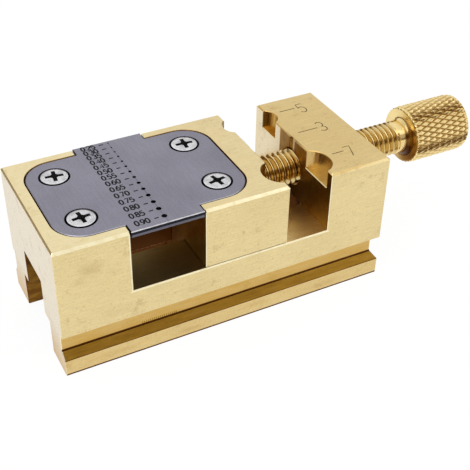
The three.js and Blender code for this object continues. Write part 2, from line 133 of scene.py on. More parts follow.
class NodeSheet:
    """A node tree that is filled one node at a time."""

    def __init__(self, tree: bpy.types.NodeTree) -> None:
        """Starts on an empty tree.

        Args:
            tree: Node tree of a material, a world or a group.
        """
        self.tree = tree
        tree.nodes.clear()

    def add(self, kind: str, inputs: Inputs | None = None, **settings: object) -> bpy.types.Node:
        """Adds a node.

        Args:
            kind: Type name of the node.
            inputs: Values for its sockets by name or number; a socket is linked, anything else is set.
            **settings: Properties of the node.

        Returns:
            The new node.
        """
        node = self.tree.nodes.new(kind)
        for name, value in settings.items():
            setattr(node, name, value)
        for name, value in (inputs or {}).items():
            self.feed(node.inputs[name], value)
        return node

    def feed(self, socket: Socket, value: object) -> None:
        """Links a socket to another, or sets its value.

        Args:
            socket: Input that is fed.
            value: Output socket, number or colour.
        """
        if isinstance(value, Socket):
            self.tree.links.new(value, socket)
        else:
            socket.default_value = value

    def math(self, operation: str, *values: object, clamp: bool = False) -> Socket:
        """Works out an operation on numbers or sockets."""
        inputs = dict(enumerate(values))
        return self.add("ShaderNodeMath", inputs, operation=operation, use_clamp=clamp).outputs[0]

    def vector(self, operation: str, *values: object) -> Socket:
        """Works out an operation on vectors or sockets; a length and a dot product are numbers."""
        node = self.add("ShaderNodeVectorMath", dict(enumerate(values)), operation=operation)
        return node.outputs["Value" if operation in ("LENGTH", "DOT_PRODUCT") else "Vector"]

    def mix(self, share: object, base: object, over: object, blend: str = "MIX") -> Socket:
        """Mixes two colours.

        Args:
            share: Share of the second colour.
            base: First colour or socket.
            over: Second colour or socket.
            blend: Blend type.

        Returns:
            The mixed colour's socket.
        """
        node = self.add("ShaderNodeMix", data_type="RGBA", blend_type=blend, clamp_factor=True)
        colours = [socket for socket in node.inputs if socket.type == "RGBA"]
        self.feed(node.inputs[0], share)
        self.feed(colours[0], base)
        self.feed(colours[1], over)
        return next(socket for socket in node.outputs if socket.type == "RGBA")

    def ramp(self, value: object, stops: Stops) -> Socket:
        """Maps a value through straight grey steps.

        Args:
            value: Socket with the value.
            stops: Places between 0 and 1, each with its grey level.

        Returns:
            The mapped value's socket.
        """
        node = self.add("ShaderNodeValToRGB", {"Fac": value})
        elements = node.color_ramp.elements
        while len(elements) < len(stops):
            elements.new(0.5)
        for element, (place, level) in zip(elements, stops):
            element.position = place
            element.color = rgb(level, level, level)
        return node.outputs["Color"]

    def noise(self, vector: object, scale: object, detail: float, roughness: float = 0.5) -> Socket:
        """Noise of so many features per metre, with finer layers of a number and a weight."""
        inputs = {"Vector": vector, "Scale": scale, "Detail": detail, "Roughness": roughness}
        return self.add("ShaderNodeTexNoise", inputs).outputs[0]

    def object_place(self) -> Socket:
        """Object coordinates, in metres."""
        return self.add("ShaderNodeTexCoord").outputs["Object"]

    def mark(self, mark: Mark) -> Socket:
        """Value that the mesh carries under a mark's name."""
        node = self.add("ShaderNodeAttribute", attribute_type="GEOMETRY", attribute_name=mark.value)
        return node.outputs["Fac"]


@dataclass(frozen=True)
class GroupSocket:
    """One input of a node group."""

    name: str
    kind: str
    value: object = None


class EffectGroup:
    """A shader node group with named inputs and outputs, built once and placed in each material."""

    title = ""
    takes: tuple[GroupSocket, ...] = ()
    gives: tuple[tuple[str, str], ...] = ()

    def fill(self, sheet: NodeSheet, given: Sockets) -> Sockets:
        """Builds the inside of the group from its inputs and gives what each output is linked to."""
        raise NotImplementedError

    def tree(self) -> bpy.types.NodeTree:
        """Finds the group, or builds it the first time.

        Returns:
            The group's node tree.
        """
        known = bpy.data.node_groups.get(self.title)
        if known is not None:
            return known
        tree = bpy.data.node_groups.new(self.title, "ShaderNodeTree")
        for socket in self.takes:
            item = tree.interface.new_socket(socket.name, in_out="INPUT", socket_type=socket.kind)
            if socket.value is not None:
                item.default_value = socket.value
        for name, kind in self.gives:
            tree.interface.new_socket(name, in_out="OUTPUT", socket_type=kind)
        sheet = NodeSheet(tree)
        inside = sheet.add("NodeGroupInput")
        results = self.fill(sheet, {socket.name: inside.outputs[socket.name] for socket in self.takes})
        outside = sheet.add("NodeGroupOutput")
        for name, socket in results.items():
            tree.links.new(socket, outside.inputs[name])
        return tree

    def place(self, sheet: NodeSheet, **inputs: object) -> bpy.types.Node:
        """Puts the group in a material.

        Args:
            sheet: The material's nodes.
            **inputs: Values or sockets for the group's inputs.

        Returns:
            The group's node.
        """
        node = sheet.add("ShaderNodeGroup", node_tree=self.tree())
        for name, value in inputs.items():
            sheet.feed(node.inputs[name], value)
        return node


class SurfaceGrain(EffectGroup):
    """Fine parallel scratches, pits and speckle that a cutter and abrasive paper leave."""

    title = "surface_grain"
    takes = (
        GroupSocket("Place", "NodeSocketVector"),
        GroupSocket("Stretch", "NodeSocketVector", (1.0, 1.0, 1.0)),
        GroupSocket("Fineness", "NodeSocketFloat", 5000.0),
    )
    gives = (("Lines", "NodeSocketFloat"), ("Pits", "NodeSocketFloat"), ("Speckle", "NodeSocketFloat"))
    line_noise: Point = (3.0, 0.65)
    pit_noise: Noise = (2600.0, 2.0, 0.6)
    pit_stops: Stops = ((0.62, 0.0), (0.72, 1.0))
    speckle_noise: Noise = (4300.0, 2.0, 0.7)

    def fill(self, sheet: NodeSheet, given: Sockets) -> Sockets:
        """Builds stretched noise for the lines and round noise for the pits.

        Args:
            sheet: The group's own nodes.
            given: Sockets of the group's inputs by name.

        Returns:
            Lines, Pits and Speckle, each between 0 and 1.
        """
        stretched = sheet.vector("MULTIPLY", given["Place"], given["Stretch"])
        return {
            "Lines": sheet.noise(stretched, given["Fineness"], *self.line_noise),
            "Pits": sheet.ramp(sheet.noise(given["Place"], *self.pit_noise), self.pit_stops),
            "Speckle": sheet.noise(given["Place"], *self.speckle_noise),
        }


class Tarnish(EffectGroup):
    """Soft clouds and small stains on handled metal."""

    title = "tarnish"
    takes = (
        GroupSocket("Place", "NodeSocketVector"),
        GroupSocket("Cloud Scale", "NodeSocketFloat", 90.0),
        GroupSocket("Stain Scale", "NodeSocketFloat", 420.0),
    )
    gives = (("Clouds", "NodeSocketFloat"), ("Stains", "NodeSocketFloat"))
    cloud_noise: Point = (4.0, 0.55)
    cloud_stops: Stops = ((0.35, 0.0), (0.65, 1.0))
    stain_noise: Point = (5.0, 0.7)
    stain_stops: Stops = ((0.58, 0.0), (0.7, 1.0))

    def fill(self, sheet: NodeSheet, given: Sockets) -> Sockets:
        """Builds wide clouds and sparse stains.

        Args:
            sheet: The group's own nodes.
            given: Sockets of the group's inputs by name.

        Returns:
            Clouds and Stains, each between 0 and 1.
        """
        clouds = sheet.noise(given["Place"], given["Cloud Scale"], *self.cloud_noise)
        stains = sheet.noise(given["Place"], given["Stain Scale"], *self.stain_noise)
        return {
            "Clouds": sheet.ramp(clouds, self.cloud_stops),
            "Stains": sheet.ramp(stains, self.stain_stops),
        }


class EdgeWearAndHighlight(EffectGroup):
    """Metal worn bright along its corners, which also paints highlight lines along them."""

    title = "rub_and_highlight_mask"
    takes = (GroupSocket("Place", "NodeSocketVector"), GroupSocket("Break Up", "NodeSocketFloat", 900.0))
    gives = (("Mask", "NodeSocketFloat"),)
    rub_detail: float = 2.0
    rub_stops: Stops = ((0.3, 0.55), (0.55, 1.0))

    def fill(self, sheet: NodeSheet, given: Sockets) -> Sockets:
        """Breaks the mesh's own edge value up with noise, into a mask between 0 and 1."""
        uneven = sheet.ramp(sheet.noise(given["Place"], given["Break Up"], self.rub_detail), self.rub_stops)
        return {"Mask": sheet.math("MULTIPLY", sheet.mark(Mark.EDGE), uneven, clamp=True)}


# Finishes


@dataclass(frozen=True)
class Finish:
    """What every finish has: a title and a way to make its material."""

    title: str

    def material(self) -> bpy.types.Material:
        """Finds the material, or makes it the first time.

        Returns:
            The finish's material.
        """
        known = bpy.data.materials.get(self.title)
        if known is not None:
            return known
        material = bpy.data.materials.new(self.title)
        material.use_nodes = True
        sheet = NodeSheet(material.node_tree)
        shader = sheet.add("ShaderNodeBsdfPrincipled")
        sheet.add("ShaderNodeOutputMaterial", {"Surface": shader.outputs[0]})
        self.dress(sheet, shader)
        return material

    def dress(self, sheet: NodeSheet, shader: bpy.types.Node) -> None:
        """Sets the sockets of the material's Principled BSDF."""
        raise NotImplementedError

    @staticmethod
    def feed_shader(
        sheet: NodeSheet, shader: bpy.types.Node, colour: Socket, roughness: object, height: Socket,
        depth: float, metallic: float = 1.0,
    ) -> None:
        """Feeds what every finish gives its shader.

        Args:
            sheet: The material's nodes.
            shader: Its Principled BSDF.
            colour: Socket with the base colour.
            roughness: Number or socket.
            height: Socket with the relief's height, 0 to 1.
            depth: Depth of the relief in metres.
            metallic: 1 for bare metal, 0 for anything else.
        """
        sheet.feed(shader.inputs["Base Color"], colour)
        sheet.feed(shader.inputs["Roughness"], roughness)
        shader.inputs["Metallic"].default_value = metallic
        relief = sheet.add("ShaderNodeBump", {"Height": height, "Distance": depth, "Strength": 1.0})
        sheet.feed(shader.inputs["Normal"], relief.outputs["Normal"])


@dataclass(frozen=True)
class Smudge:
    """Soft darker patch on a surface, in millimetres at the body's left end."""

    place: Triple
    reach: Triple
    strength: float
    raggedness: float = 0.5
    ragged_noise: Noise = (700.0, 3.0, 0.5)
    fade: Stops = ((0.35, 1.0), (1.0, 0.0))

    def mask(self, sheet: NodeSheet, place: Socket) -> Socket:
        """Mask that fades out at the smudge's reach.

        Args:
            sheet: The material's nodes.
            place: Object coordinates.

        Returns:
            The mask's socket, 0 to the smudge's strength.
        """
        centre = tuple(to_frame() @ Vector(self.place))
        scale = tuple(1.0 / (length * MILLIMETRE) for length in self.reach)
        shares = sheet.vector("MULTIPLY", sheet.vector("SUBTRACT", place, centre), scale)
        uneven = sheet.math("MULTIPLY", sheet.noise(place, *self.ragged_noise), self.raggedness)
        ragged = sheet.math("ADD", sheet.vector("LENGTH", shares), uneven)
        return sheet.math("MULTIPLY", sheet.ramp(ragged, self.fade), self.strength)


@dataclass(frozen=True)
class GrainedFinish(Finish):
    """Bare metal with scratches, speckle, clouds and edges worn bright, whose bright colour also paints
    highlight lines.

    The lay is the stretch of the scratches: small along the direction in which they run.
    """

    tone: Colour = WHITE
    cloud: Colour = WHITE
    # Colour of edges worn bright, also a painted highlight
    rubbed_and_highlight: Colour = WHITE
    lay: Triple = (1.0, 1.0, 1.0)
    fineness: float = 5200.0
    line_shade: Stops = ((0.3, 0.9), (0.7, 1.06))
    speckle: float = 0.055
    speckle_range: Span = (0.35, 0.65)
    roughness: float = 0.3
    line_roughness: float = 0.16
    line_depth: float = 0.0000035

    def effects(self, sheet: NodeSheet, place: Socket) -> Sockets:
        """Places the shared effects.

        Args:
            sheet: The material's nodes.
            place: Object coordinates.

        Returns:
            The effects' outputs by name.
        """
        grain = SurfaceGrain().place(sheet, Place=place, Stretch=self.lay, Fineness=self.fineness)
        nodes = (grain, Tarnish().place(sheet, Place=place), EdgeWearAndHighlight().place(sheet, Place=place))
        return {output.name: output for node in nodes for output in node.outputs}

    def grained(self, sheet: NodeSheet, colour: Socket, effects: Sockets) -> Socket:
        """Shades a colour along its scratches and speckle, and brightens its worn edges, which also paints
        highlight lines.

        Args:
            sheet: The material's nodes.
            colour: The colour.
            effects: The effects' outputs.

        Returns:
            The shaded colour's socket.
        """
        speckle_shade = tuple(zip(self.speckle_range, (1.0 - self.speckle, 1.0 + self.speckle)))
        colour = sheet.mix(1.0, colour, sheet.ramp(effects["Lines"], self.line_shade), "MULTIPLY")
        colour = sheet.mix(1.0, colour, sheet.ramp(effects["Speckle"], speckle_shade), "MULTIPLY")
        # Worn edges brightened, also a painted highlight
        return sheet.mix(effects["Mask"], colour, self.rubbed_and_highlight)

    def line_rough(self, sheet: NodeSheet, effects: Sockets) -> Socket:
        """Roughness that varies with the scratches."""
        least = self.roughness - self.line_roughness / 2
        return sheet.math("MULTIPLY_ADD", effects["Lines"], self.line_roughness, least)


@dataclass(frozen=True)
class BrassFinish(GrainedFinish):
    """Brass that was milled or turned, and sanded down with paper.

    Faces marked with dirt and painted shade turn dark brown and then near black, and the painted shade
    deepens further inside the vise; faces marked with painted light turn pale.
    """

    tone: Colour = rgb(0.82, 0.665, 0.345)
    cloud: Colour = rgb(0.72, 0.57, 0.28)
    rubbed_and_highlight: Colour = rgb(0.96, 0.88, 0.6)
    lay: Triple = (0.06, 1.0, 1.0)
    stain: Colour = rgb(0.36, 0.22, 0.07)
    # Pale brass for painted light
    dulled: Colour = rgb(0.83, 0.735, 0.585)
    # Dark brown, then near black, for dirt and painted shade
    tarnish_and_shade: Colour = rgb(0.6, 0.34, 0.045)
    dark_soil_and_shade: Colour = rgb(0.1, 0.032, 0.005)
    cloud_share: float = 0.45
    stain_share: float = 0.3
    stain_roughness: float = 0.25
    pit_share: float = 0.28
    pit_depth: float = 0.7
    # How the dirt and painted shade spread, and their steps to dark brown and near black
    soil_shade_draw: Triple = (0.25, 1.0, 1.0)
    soil_shade_noise: Noise = (900.0, 4.0, 0.6)
    to_tarnish_and_shade: Stops = ((0.0, 0.0), (0.5, 1.0))
    to_dark_soil_and_shade: Stops = ((0.5, 0.0), (1.0, 1.0))
    soil_shade_least: float = 0.5
    soil_shade_spread: float = 0.6
    soil_shade_roughness: float = 0.12
    # Painted shade deepens towards the vise's middle, away from its front and rear faces
    deepens_by: float = 0.25
    deepens_over: float = 0.006
    smudges: tuple[Smudge, ...] = ()

    def soil_and_shade(self, sheet: NodeSheet, place: Socket) -> Socket:
        """Spreads the mesh's value of dirt and painted shade unevenly, and deepens it towards the vise's
        middle, where the painted shade grows.

        Args:
            sheet: The material's nodes.
            place: Object coordinates.

        Returns:
            Socket between 0, clean and unshaded, and 1, near black with dirt and painted shade.
        """
        side = sheet.add("ShaderNodeSeparateXYZ", {"Vector": place}).outputs["Y"]
        from_edge = sheet.math("SUBTRACT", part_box("vise_body")[1].y, sheet.math("ABSOLUTE", side))
        inside = sheet.math("DIVIDE", from_edge, self.deepens_over, clamp=True)
        patches = sheet.noise(sheet.vector("MULTIPLY", place, self.soil_shade_draw), *self.soil_shade_noise)
        uneven = sheet.math("MULTIPLY_ADD", patches, self.soil_shade_spread, self.soil_shade_least)
        depth = sheet.math("MULTIPLY_ADD", inside, self.deepens_by, uneven)
        return sheet.math("MULTIPLY", sheet.mark(Mark.SOIL_AND_SHADE), depth, clamp=True)

    def dress(self, sheet: NodeSheet, shader: bpy.types.Node) -> None:
        """Lays clouds, stains, painted light, scratches, dirt with painted shade, and worn bright edges with
        painted highlight over the brass tone.

        Args:
            sheet: The material's nodes.
            shader: Its Principled BSDF.
        """
        place = sheet.object_place()
        effects = self.effects(sheet, place)
        soil_and_shade = self.soil_and_shade(sheet, place)
        stains = sheet.math("MULTIPLY", effects["Stains"], self.stain_share)
        colour = sheet.mix(sheet.math("MULTIPLY", effects["Clouds"], self.cloud_share), self.tone, self.cloud)
        # Painted light: marked faces turn pale
        colour = sheet.mix(sheet.mark(Mark.PAINTED_PALE), colour, self.dulled)
        colour = sheet.mix(stains, colour, self.stain)
        for smudge in self.smudges:
            colour = sheet.mix(smudge.mask(sheet, place), colour, self.stain)
        colour = sheet.mix(sheet.math("MULTIPLY", effects["Pits"], self.pit_share), colour, self.stain)
        # Dirt and painted shade: dark brown, then near black
        colour = sheet.mix(sheet.ramp(soil_and_shade, self.to_tarnish_and_shade), colour, self.tarnish_and_shade)
        colour = sheet.mix(sheet.ramp(soil_and_shade, self.to_dark_soil_and_shade), colour, self.dark_soil_and_shade)
        colour = self.grained(sheet, colour, effects)
        stain_rough = sheet.math("MULTIPLY", stains, self.stain_roughness)
        rough = sheet.math("ADD", self.line_rough(sheet, effects), stain_rough)
        rough = sheet.math("ADD", rough, sheet.math("MULTIPLY", soil_and_shade, self.soil_shade_roughness), clamp=True)
        sunk = sheet.math("MULTIPLY", effects["Pits"], self.pit_depth)
        height = sheet.math("SUBTRACT", effects["Lines"], sunk)
        self.feed_shader(sheet, shader, colour, rough, height, self.line_depth)


@dataclass(frozen=True)
class SteelFinish(GrainedFinish):
    """Ground, plated or black-finished steel, whose faces not ground stay dark, partly as painted shade."""

    tone: Colour = rgb(0.295, 0.288, 0.345)
    cloud: Colour = rgb(0.25, 0.244, 0.295)
    rubbed_and_highlight: Colour = rgb(0.72, 0.71, 0.73)
    lay: Triple = (1.0, 0.05, 1.0)
    fineness: float = 6000.0
    line_shade: Stops = ((0.3, 0.9), (0.7, 1.07))
    speckle: float = 0.08
    roughness: float = 0.38
    line_roughness: float = 0.14
    line_depth: float = 0.000002
    # Near black for faces not ground and for painted shade
    unground_and_shade: Colour = rgb(0.02, 0.02, 0.028)

    def dress(self, sheet: NodeSheet, shader: bpy.types.Node) -> None:
        """Lays faint clouds, grinding lines, dark faces with painted shade, and worn bright edges with
        painted highlight over the steel tone.

        Args:
            sheet: The material's nodes.
            shader: Its Principled BSDF.
        """
        effects = self.effects(sheet, sheet.object_place())
        colour = sheet.mix(effects["Clouds"], self.tone, self.cloud)
        # Faces not ground, and painted shade, turn near black
        colour = sheet.mix(sheet.mark(Mark.SOIL_AND_SHADE), colour, self.unground_and_shade)
        colour = self.grained(sheet, colour, effects)
        rough = self.line_rough(sheet, effects)
        self.feed_shader(sheet, shader, colour, rough, effects["Lines"], self.line_depth)


@dataclass(frozen=True)
class TurnedSteelFinish(Finish):
    """Bright plated screw head with the rings that the lathe left."""

    tone: Colour = rgb(0.86, 0.86, 0.88)
    shade: Colour = rgb(0.46, 0.46, 0.48)
    rubbed_and_highlight: Colour = rgb(0.92, 0.92, 0.92)
    roughness: float = 0.24
    speck_roughness: float = 0.2
    rings: float = 9.0
    ring_detail: float = 3.0
    ring_stops: Stops = ((0.4, 0.0), (0.62, 1.0))
    ring_depth: float = 0.000003
    speck_noise: Noise = (2400.0, 3.0, 0.65)
    speck_stops: Stops = ((0.56, 0.0), (0.7, 0.6))
    blotch_noise: Noise = (800.0, 3.0, 0.6)
    blotch_stops: Stops = ((0.45, 0.0), (0.62, 0.8))

    def dress(self, sheet: NodeSheet, shader: bpy.types.Node) -> None:
        """Draws rings from the mesh's own distance to its axis, and blotches over them.

        Args:
            sheet: The material's nodes.
            shader: Its Principled BSDF.
        """
        inputs = {"W": sheet.mark(Mark.RADIUS), "Scale": self.rings, "Detail": self.ring_detail}
        ring = sheet.add("ShaderNodeTexNoise", inputs, noise_dimensions="1D").outputs[0]
        place = sheet.object_place()
        specks, blotches = sheet.noise(place, *self.speck_noise), sheet.noise(place, *self.blotch_noise)
        colour = sheet.mix(sheet.ramp(ring, self.ring_stops), self.tone, self.shade)
        colour = sheet.mix(sheet.ramp(blotches, self.blotch_stops), colour, self.shade)
        colour = sheet.mix(sheet.ramp(specks, self.speck_stops), colour, self.shade)
        # Outer bevel ring worn bright, also a painted highlight ring
        colour = sheet.mix(sheet.mark(Mark.EDGE), colour, self.rubbed_and_highlight)
        least = self.roughness - self.speck_roughness / 2
        rough = sheet.math("MULTIPLY_ADD", specks, self.speck_roughness, least)
        self.feed_shader(sheet, shader, colour, rough, ring, self.ring_depth)


@dataclass(frozen=True)
class InkAndShadeFinish(Finish):
    """Dark colour, uneven and matt: the ink of the scale, and painted shade in engraved lines and screw
    recesses.
    """

    tone: Colour = rgb(0.008, 0.008, 0.009)
    worn: Colour = rgb(0.03, 0.028, 0.03)
    roughness: float = 0.7
    specular: float = 0.2
    speck_noise: Noise = (4200.0, 4.0, 0.6)
    speck_stops: Stops = ((0.45, 0.0), (0.65, 1.0))
    depth: float = 0.000004

    def dress(self, sheet: NodeSheet, shader: bpy.types.Node) -> None:
        """Mixes two dark tones by fine noise.

        Args:
            sheet: The material's nodes.
            shader: Its Principled BSDF.
        """
        speck = sheet.noise(sheet.object_place(), *self.speck_noise)
        colour = sheet.mix(sheet.ramp(speck, self.speck_stops), self.tone, self.worn)
        shader.inputs["Specular IOR Level"].default_value = self.specular
        self.feed_shader(sheet, shader, colour, self.roughness, speck, self.depth, metallic=0.0)


MILLED = BrassFinish("milled_brass_finish")


@dataclass(frozen=True)
class Finishes:
    """Every finish of the vise."""

    milled: BrassFinish = MILLED
    body: BrassFinish = replace(
        MILLED,
        title="milled_brass_body_finish",
        smudges=(
            Smudge((5.4, -12.5, 19.2), (3.4, 2.0, 2.2), 0.3),
            Smudge((3.6, -12.5, 17.6), (1.8, 2.0, 1.4), 0.2),
            Smudge((9.5, -12.5, 9.8), (5.0, 2.0, 1.8), 0.12),
            Smudge((22.0, -12.5, 9.5), (6.0, 2.0, 1.5), 0.1),
            Smudge((9.0, -12.5, 1.6), (6.0, 2.0, 1.1), 0.22),
            Smudge((21.0, -12.5, 1.2), (5.0, 2.0, 0.9), 0.3),
            Smudge((33.0, -12.5, 1.9), (4.5, 2.0, 0.9), 0.22),
            Smudge((47.0, -12.5, 1.4), (6.0, 2.0, 1.0), 0.25),
        ),
    )
    turned: BrassFinish = BrassFinish(
        "turned_brass_finish",
        tone=rgb(0.9, 0.71, 0.33),
        cloud=rgb(0.82, 0.6, 0.25),
        stain=rgb(0.3, 0.16, 0.04),
        rubbed_and_highlight=rgb(0.95, 0.78, 0.42),
        tarnish_and_shade=rgb(0.34, 0.17, 0.03),
        dark_soil_and_shade=rgb(0.07, 0.022, 0.003),
        lay=(1.0, 0.05, 0.05),
        stain_share=0.2,
        speckle=0.06,
        roughness=0.17,
    )
    plate: SteelFinish = SteelFinish("plate_steel_finish")
    dark: SteelFinish = SteelFinish(
        "dark_steel_finish",
        tone=rgb(0.09, 0.09, 0.095),
        cloud=rgb(0.06, 0.06, 0.065),
        rubbed_and_highlight=rgb(0.3, 0.3, 0.3),
    )
    bright: TurnedSteelFinish = TurnedSteelFinish("bright_screw_finish")
    ink: InkAndShadeFinish = InkAndShadeFinish("scale_ink_fill")
    # Painted shade in the screws' cross recesses and a painted shadow under their heads
    recess: InkAndShadeFinish = InkAndShadeFinish("recess_painted_shade")
    # Painted shade in the engraved lines
    engraving: InkAndShadeFinish = InkAndShadeFinish(
        "engraving_painted_shade", tone=rgb(0.12, 0.075, 0.025), worn=rgb(0.3, 0.2, 0.08)
    )


FINISHES = Finishes()


# Mesh work


def new_object(name: str, data: bpy.types.ID) -> bpy.types.Object:
    """Links a new object, at the origin, for a mesh, a curve, a lamp or a camera.

    Args:
        name: The object's name.
        data: What it holds.

    Returns:
        The object.
    """
    obj = bpy.data.objects.new(name, data)
    bpy.context.scene.collection.objects.link(obj)
    return obj


def geometry_of(mesh: bpy.types.Mesh) -> Geometry:
    """Copies a mesh into new geometry.

    Args:
        mesh: The mesh.

    Returns:
        The geometry, in the mesh's own units.
    """
    bm = bmesh.new()
    bm.from_mesh(mesh)
    return bm


def mesh_from(bm: Geometry, name: str, materials: Sequence[bpy.types.Material] = ()) -> bpy.types.Mesh:
    """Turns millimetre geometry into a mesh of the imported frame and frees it.

    Args:
        bm: Geometry in millimetres at the body's left end.
        name: The mesh's name.
        materials: Its materials in the order of its faces' indices.

    Returns:
        The new mesh.
    """
    bmesh.ops.transform(bm, matrix=to_frame(), verts=bm.verts)
    mesh = bpy.data.meshes.new(name)
    bm.to_mesh(mesh)
    bm.free()
    if CAD_NORMALS in mesh.attributes:
        mesh.attributes.remove(mesh.attributes[CAD_NORMALS])
    for material in materials:
        mesh.materials.append(material)
    return mesh


def evaluated_mesh(obj: bpy.types.Object) -> bpy.types.Mesh:
    """Takes an object's mesh with its modifiers applied.

    Args:
        obj: The object.

    Returns:
        A mesh of its own.
    """
    depsgraph = bpy.context.evaluated_depsgraph_get()
    depsgraph.update()
    return bpy.data.meshes.new_from_object(obj.evaluated_get(depsgraph), depsgraph=depsgraph)


def carved(mesh: bpy.types.Mesh, cutter: bpy.types.Mesh, name: str) -> bpy.types.Mesh:
    """Cuts one closed mesh out of another.

    Args:
        mesh: Mesh that is cut.
        cutter: Mesh that is taken away, whose faces keep their material index.
        name: Name of the result.

    Returns:
        The cut mesh.
    """
    piece = new_object("carving", mesh)
    tool = new_object("carving_tool", cutter)
    modifier = piece.modifiers.new("cut", "BOOLEAN")
    modifier.operation = "DIFFERENCE"
    modifier.solver = "EXACT"
    modifier.use_self = True
    modifier.material_mode = "INDEX"
    modifier.object = tool
    result = evaluated_mesh(piece)
    result.name = name
    for obj in (piece, tool):
        bpy.data.objects.remove(obj)
    mend(result)
    return result


def mend(mesh: bpy.types.Mesh) -> None:
    """Merges what lies on one spot, takes out slivers without area and closes what stays open.

    Args:
        mesh: The mesh that is mended.
    """
    bm = geometry_of(mesh)
    bmesh.ops.remove_doubles(bm, verts=bm.verts, dist=SMALLEST_M)
    bmesh.ops.dissolve_degenerate(bm, edges=bm.edges, dist=SMALLEST_M)
    bmesh.ops.holes_fill(bm, edges=[edge for edge in bm.edges if edge.is_boundary], sides=0)
    bm.to_mesh(mesh)
    bm.free()


def open_edges(mesh: bpy.types.Mesh) -> int:
    """Counts the edges that don't join two faces.

    Args:
        mesh: The mesh.

    Returns:
        Their number.
    """
    bm = geometry_of(mesh)
    count = sum(not edge.is_manifold for edge in bm.edges)
    bm.free()
    return count


def smooth_by_angle(obj: bpy.types.Object, degrees: float) -> None:
    """Smooths what turns less than an angle, and weighs the normals by the faces' areas.

    Args:
        obj: The piece.
        degrees: Angle from which an edge stays sharp.
    """
    obj.data.shade_smooth()
    obj.data.set_sharp_from_angle(angle=math.radians(degrees))
    modifier = obj.modifiers.new("normals", "WEIGHTED_NORMAL")
    modifier.keep_sharp = True
    modifier.weight = NORMALS_WEIGHT


def stroke_tubes(strokes: Iterable[Stroke], radius: float, height: float) -> Geometry:
    """Draws flat strokes as round tubes with closed ends.

    Args:
        strokes: Lines of points in X and Y; one that ends where it starts is closed.
        radius: Radius of the tubes.
        height: Height of their middle line.

    Returns:
        The tubes as geometry in the strokes' own units.
    """
    curve = bpy.data.curves.new("strokes", "CURVE")
    curve.dimensions = "3D"
    curve.bevel_depth = radius
    curve.bevel_resolution = 1
    curve.use_fill_caps = True
    for stroke in strokes:
        closed = math.dist(stroke[0], stroke[-1]) < CLOSED_WITHIN * radius
        points = stroke[:-1] if closed else stroke
        spline = curve.splines.new("POLY")
        spline.points.add(len(points) - 1)
        for point, (x, y) in zip(spline.points, points):
            point.co = (x, y, height, 1.0)
        spline.use_cyclic_u = closed
    holder = new_object("strokes", curve)
    mesh = evaluated_mesh(holder)
    bm = geometry_of(mesh)
    bmesh.ops.remove_doubles(bm, verts=bm.verts, dist=WELD_WITHIN * radius)
    bmesh.ops.recalc_face_normals(bm, faces=bm.faces)
    bpy.data.objects.remove(holder)
    bpy.data.meshes.remove(mesh)
    bpy.data.curves.remove(curve)
    return bm


def turned(profile: Sequence[Point], axis: Axis, centre: Vector, steps: int) -> Geometry:
    """Turns a profile into a closed round shape.

    Args:
        profile: Points as radius and place along the axis; it starts and ends on the axis.
        axis: The axis, along the vise or upwards.
        centre: Point that the profile's places are measured from.
        steps: Facets round the shape.

    Returns:
        The turned geometry.
    """
    bm = bmesh.new()
    side = Axis.HEIGHT if axis is Axis.LENGTH else Axis.LENGTH
    verts = [bm.verts.new(centre + axis.at(along) + side.at(radius)) for radius, along in profile]
    edges = [bm.edges.new(pair) for pair in zip(verts, verts[1:])]
    bmesh.ops.spin(
        bm, geom=verts + edges, cent=centre, axis=axis.value, dvec=(0.0, 0.0, 0.0),
        angle=2 * math.pi, steps=steps, use_merge=True, use_duplicate=False,
    )
    bmesh.ops.remove_doubles(bm, verts=bm.verts, dist=SMALLEST_MM)
    bmesh.ops.recalc_face_normals(bm, faces=bm.faces)
    return bm


def profile_arc(centre: Point, radius: float, start: float, end: float, steps: int) -> list[Point]:
    """Arc as radius and place along an axis, between angles in degrees from the axis's own direction."""
    angles = [math.radians(start + (end - start) * step / steps) for step in range(steps + 1)]
    return [(centre[0] + radius * math.sin(angle), centre[1] + radius * math.cos(angle)) for angle in angles]


def joined(parts: Sequence[Geometry]) -> Geometry:
    """Puts closed shells together in one geometry and frees them.

    Args:
        parts: The shells.

    Returns:
        One geometry that holds them all.
    """
    whole = bmesh.new()
    for part in parts:
        mesh = bpy.data.meshes.new("part")
        part.to_mesh(mesh)
        whole.from_mesh(mesh)
        part.free()
        bpy.data.meshes.remove(mesh)
    return whole


# Digits


def flat_arc(centre: Point, radii: Point, start: float, end: float, steps: int = 12) -> Stroke:
    """Arc of an ellipse of half a width and half a height, between angles counter-clockwise from +X."""
    angles = [math.radians(start + (end - start) * step / steps) for step in range(steps + 1)]
    return [(centre[0] + radii[0] * math.cos(a), centre[1] + radii[1] * math.sin(a)) for a in angles]


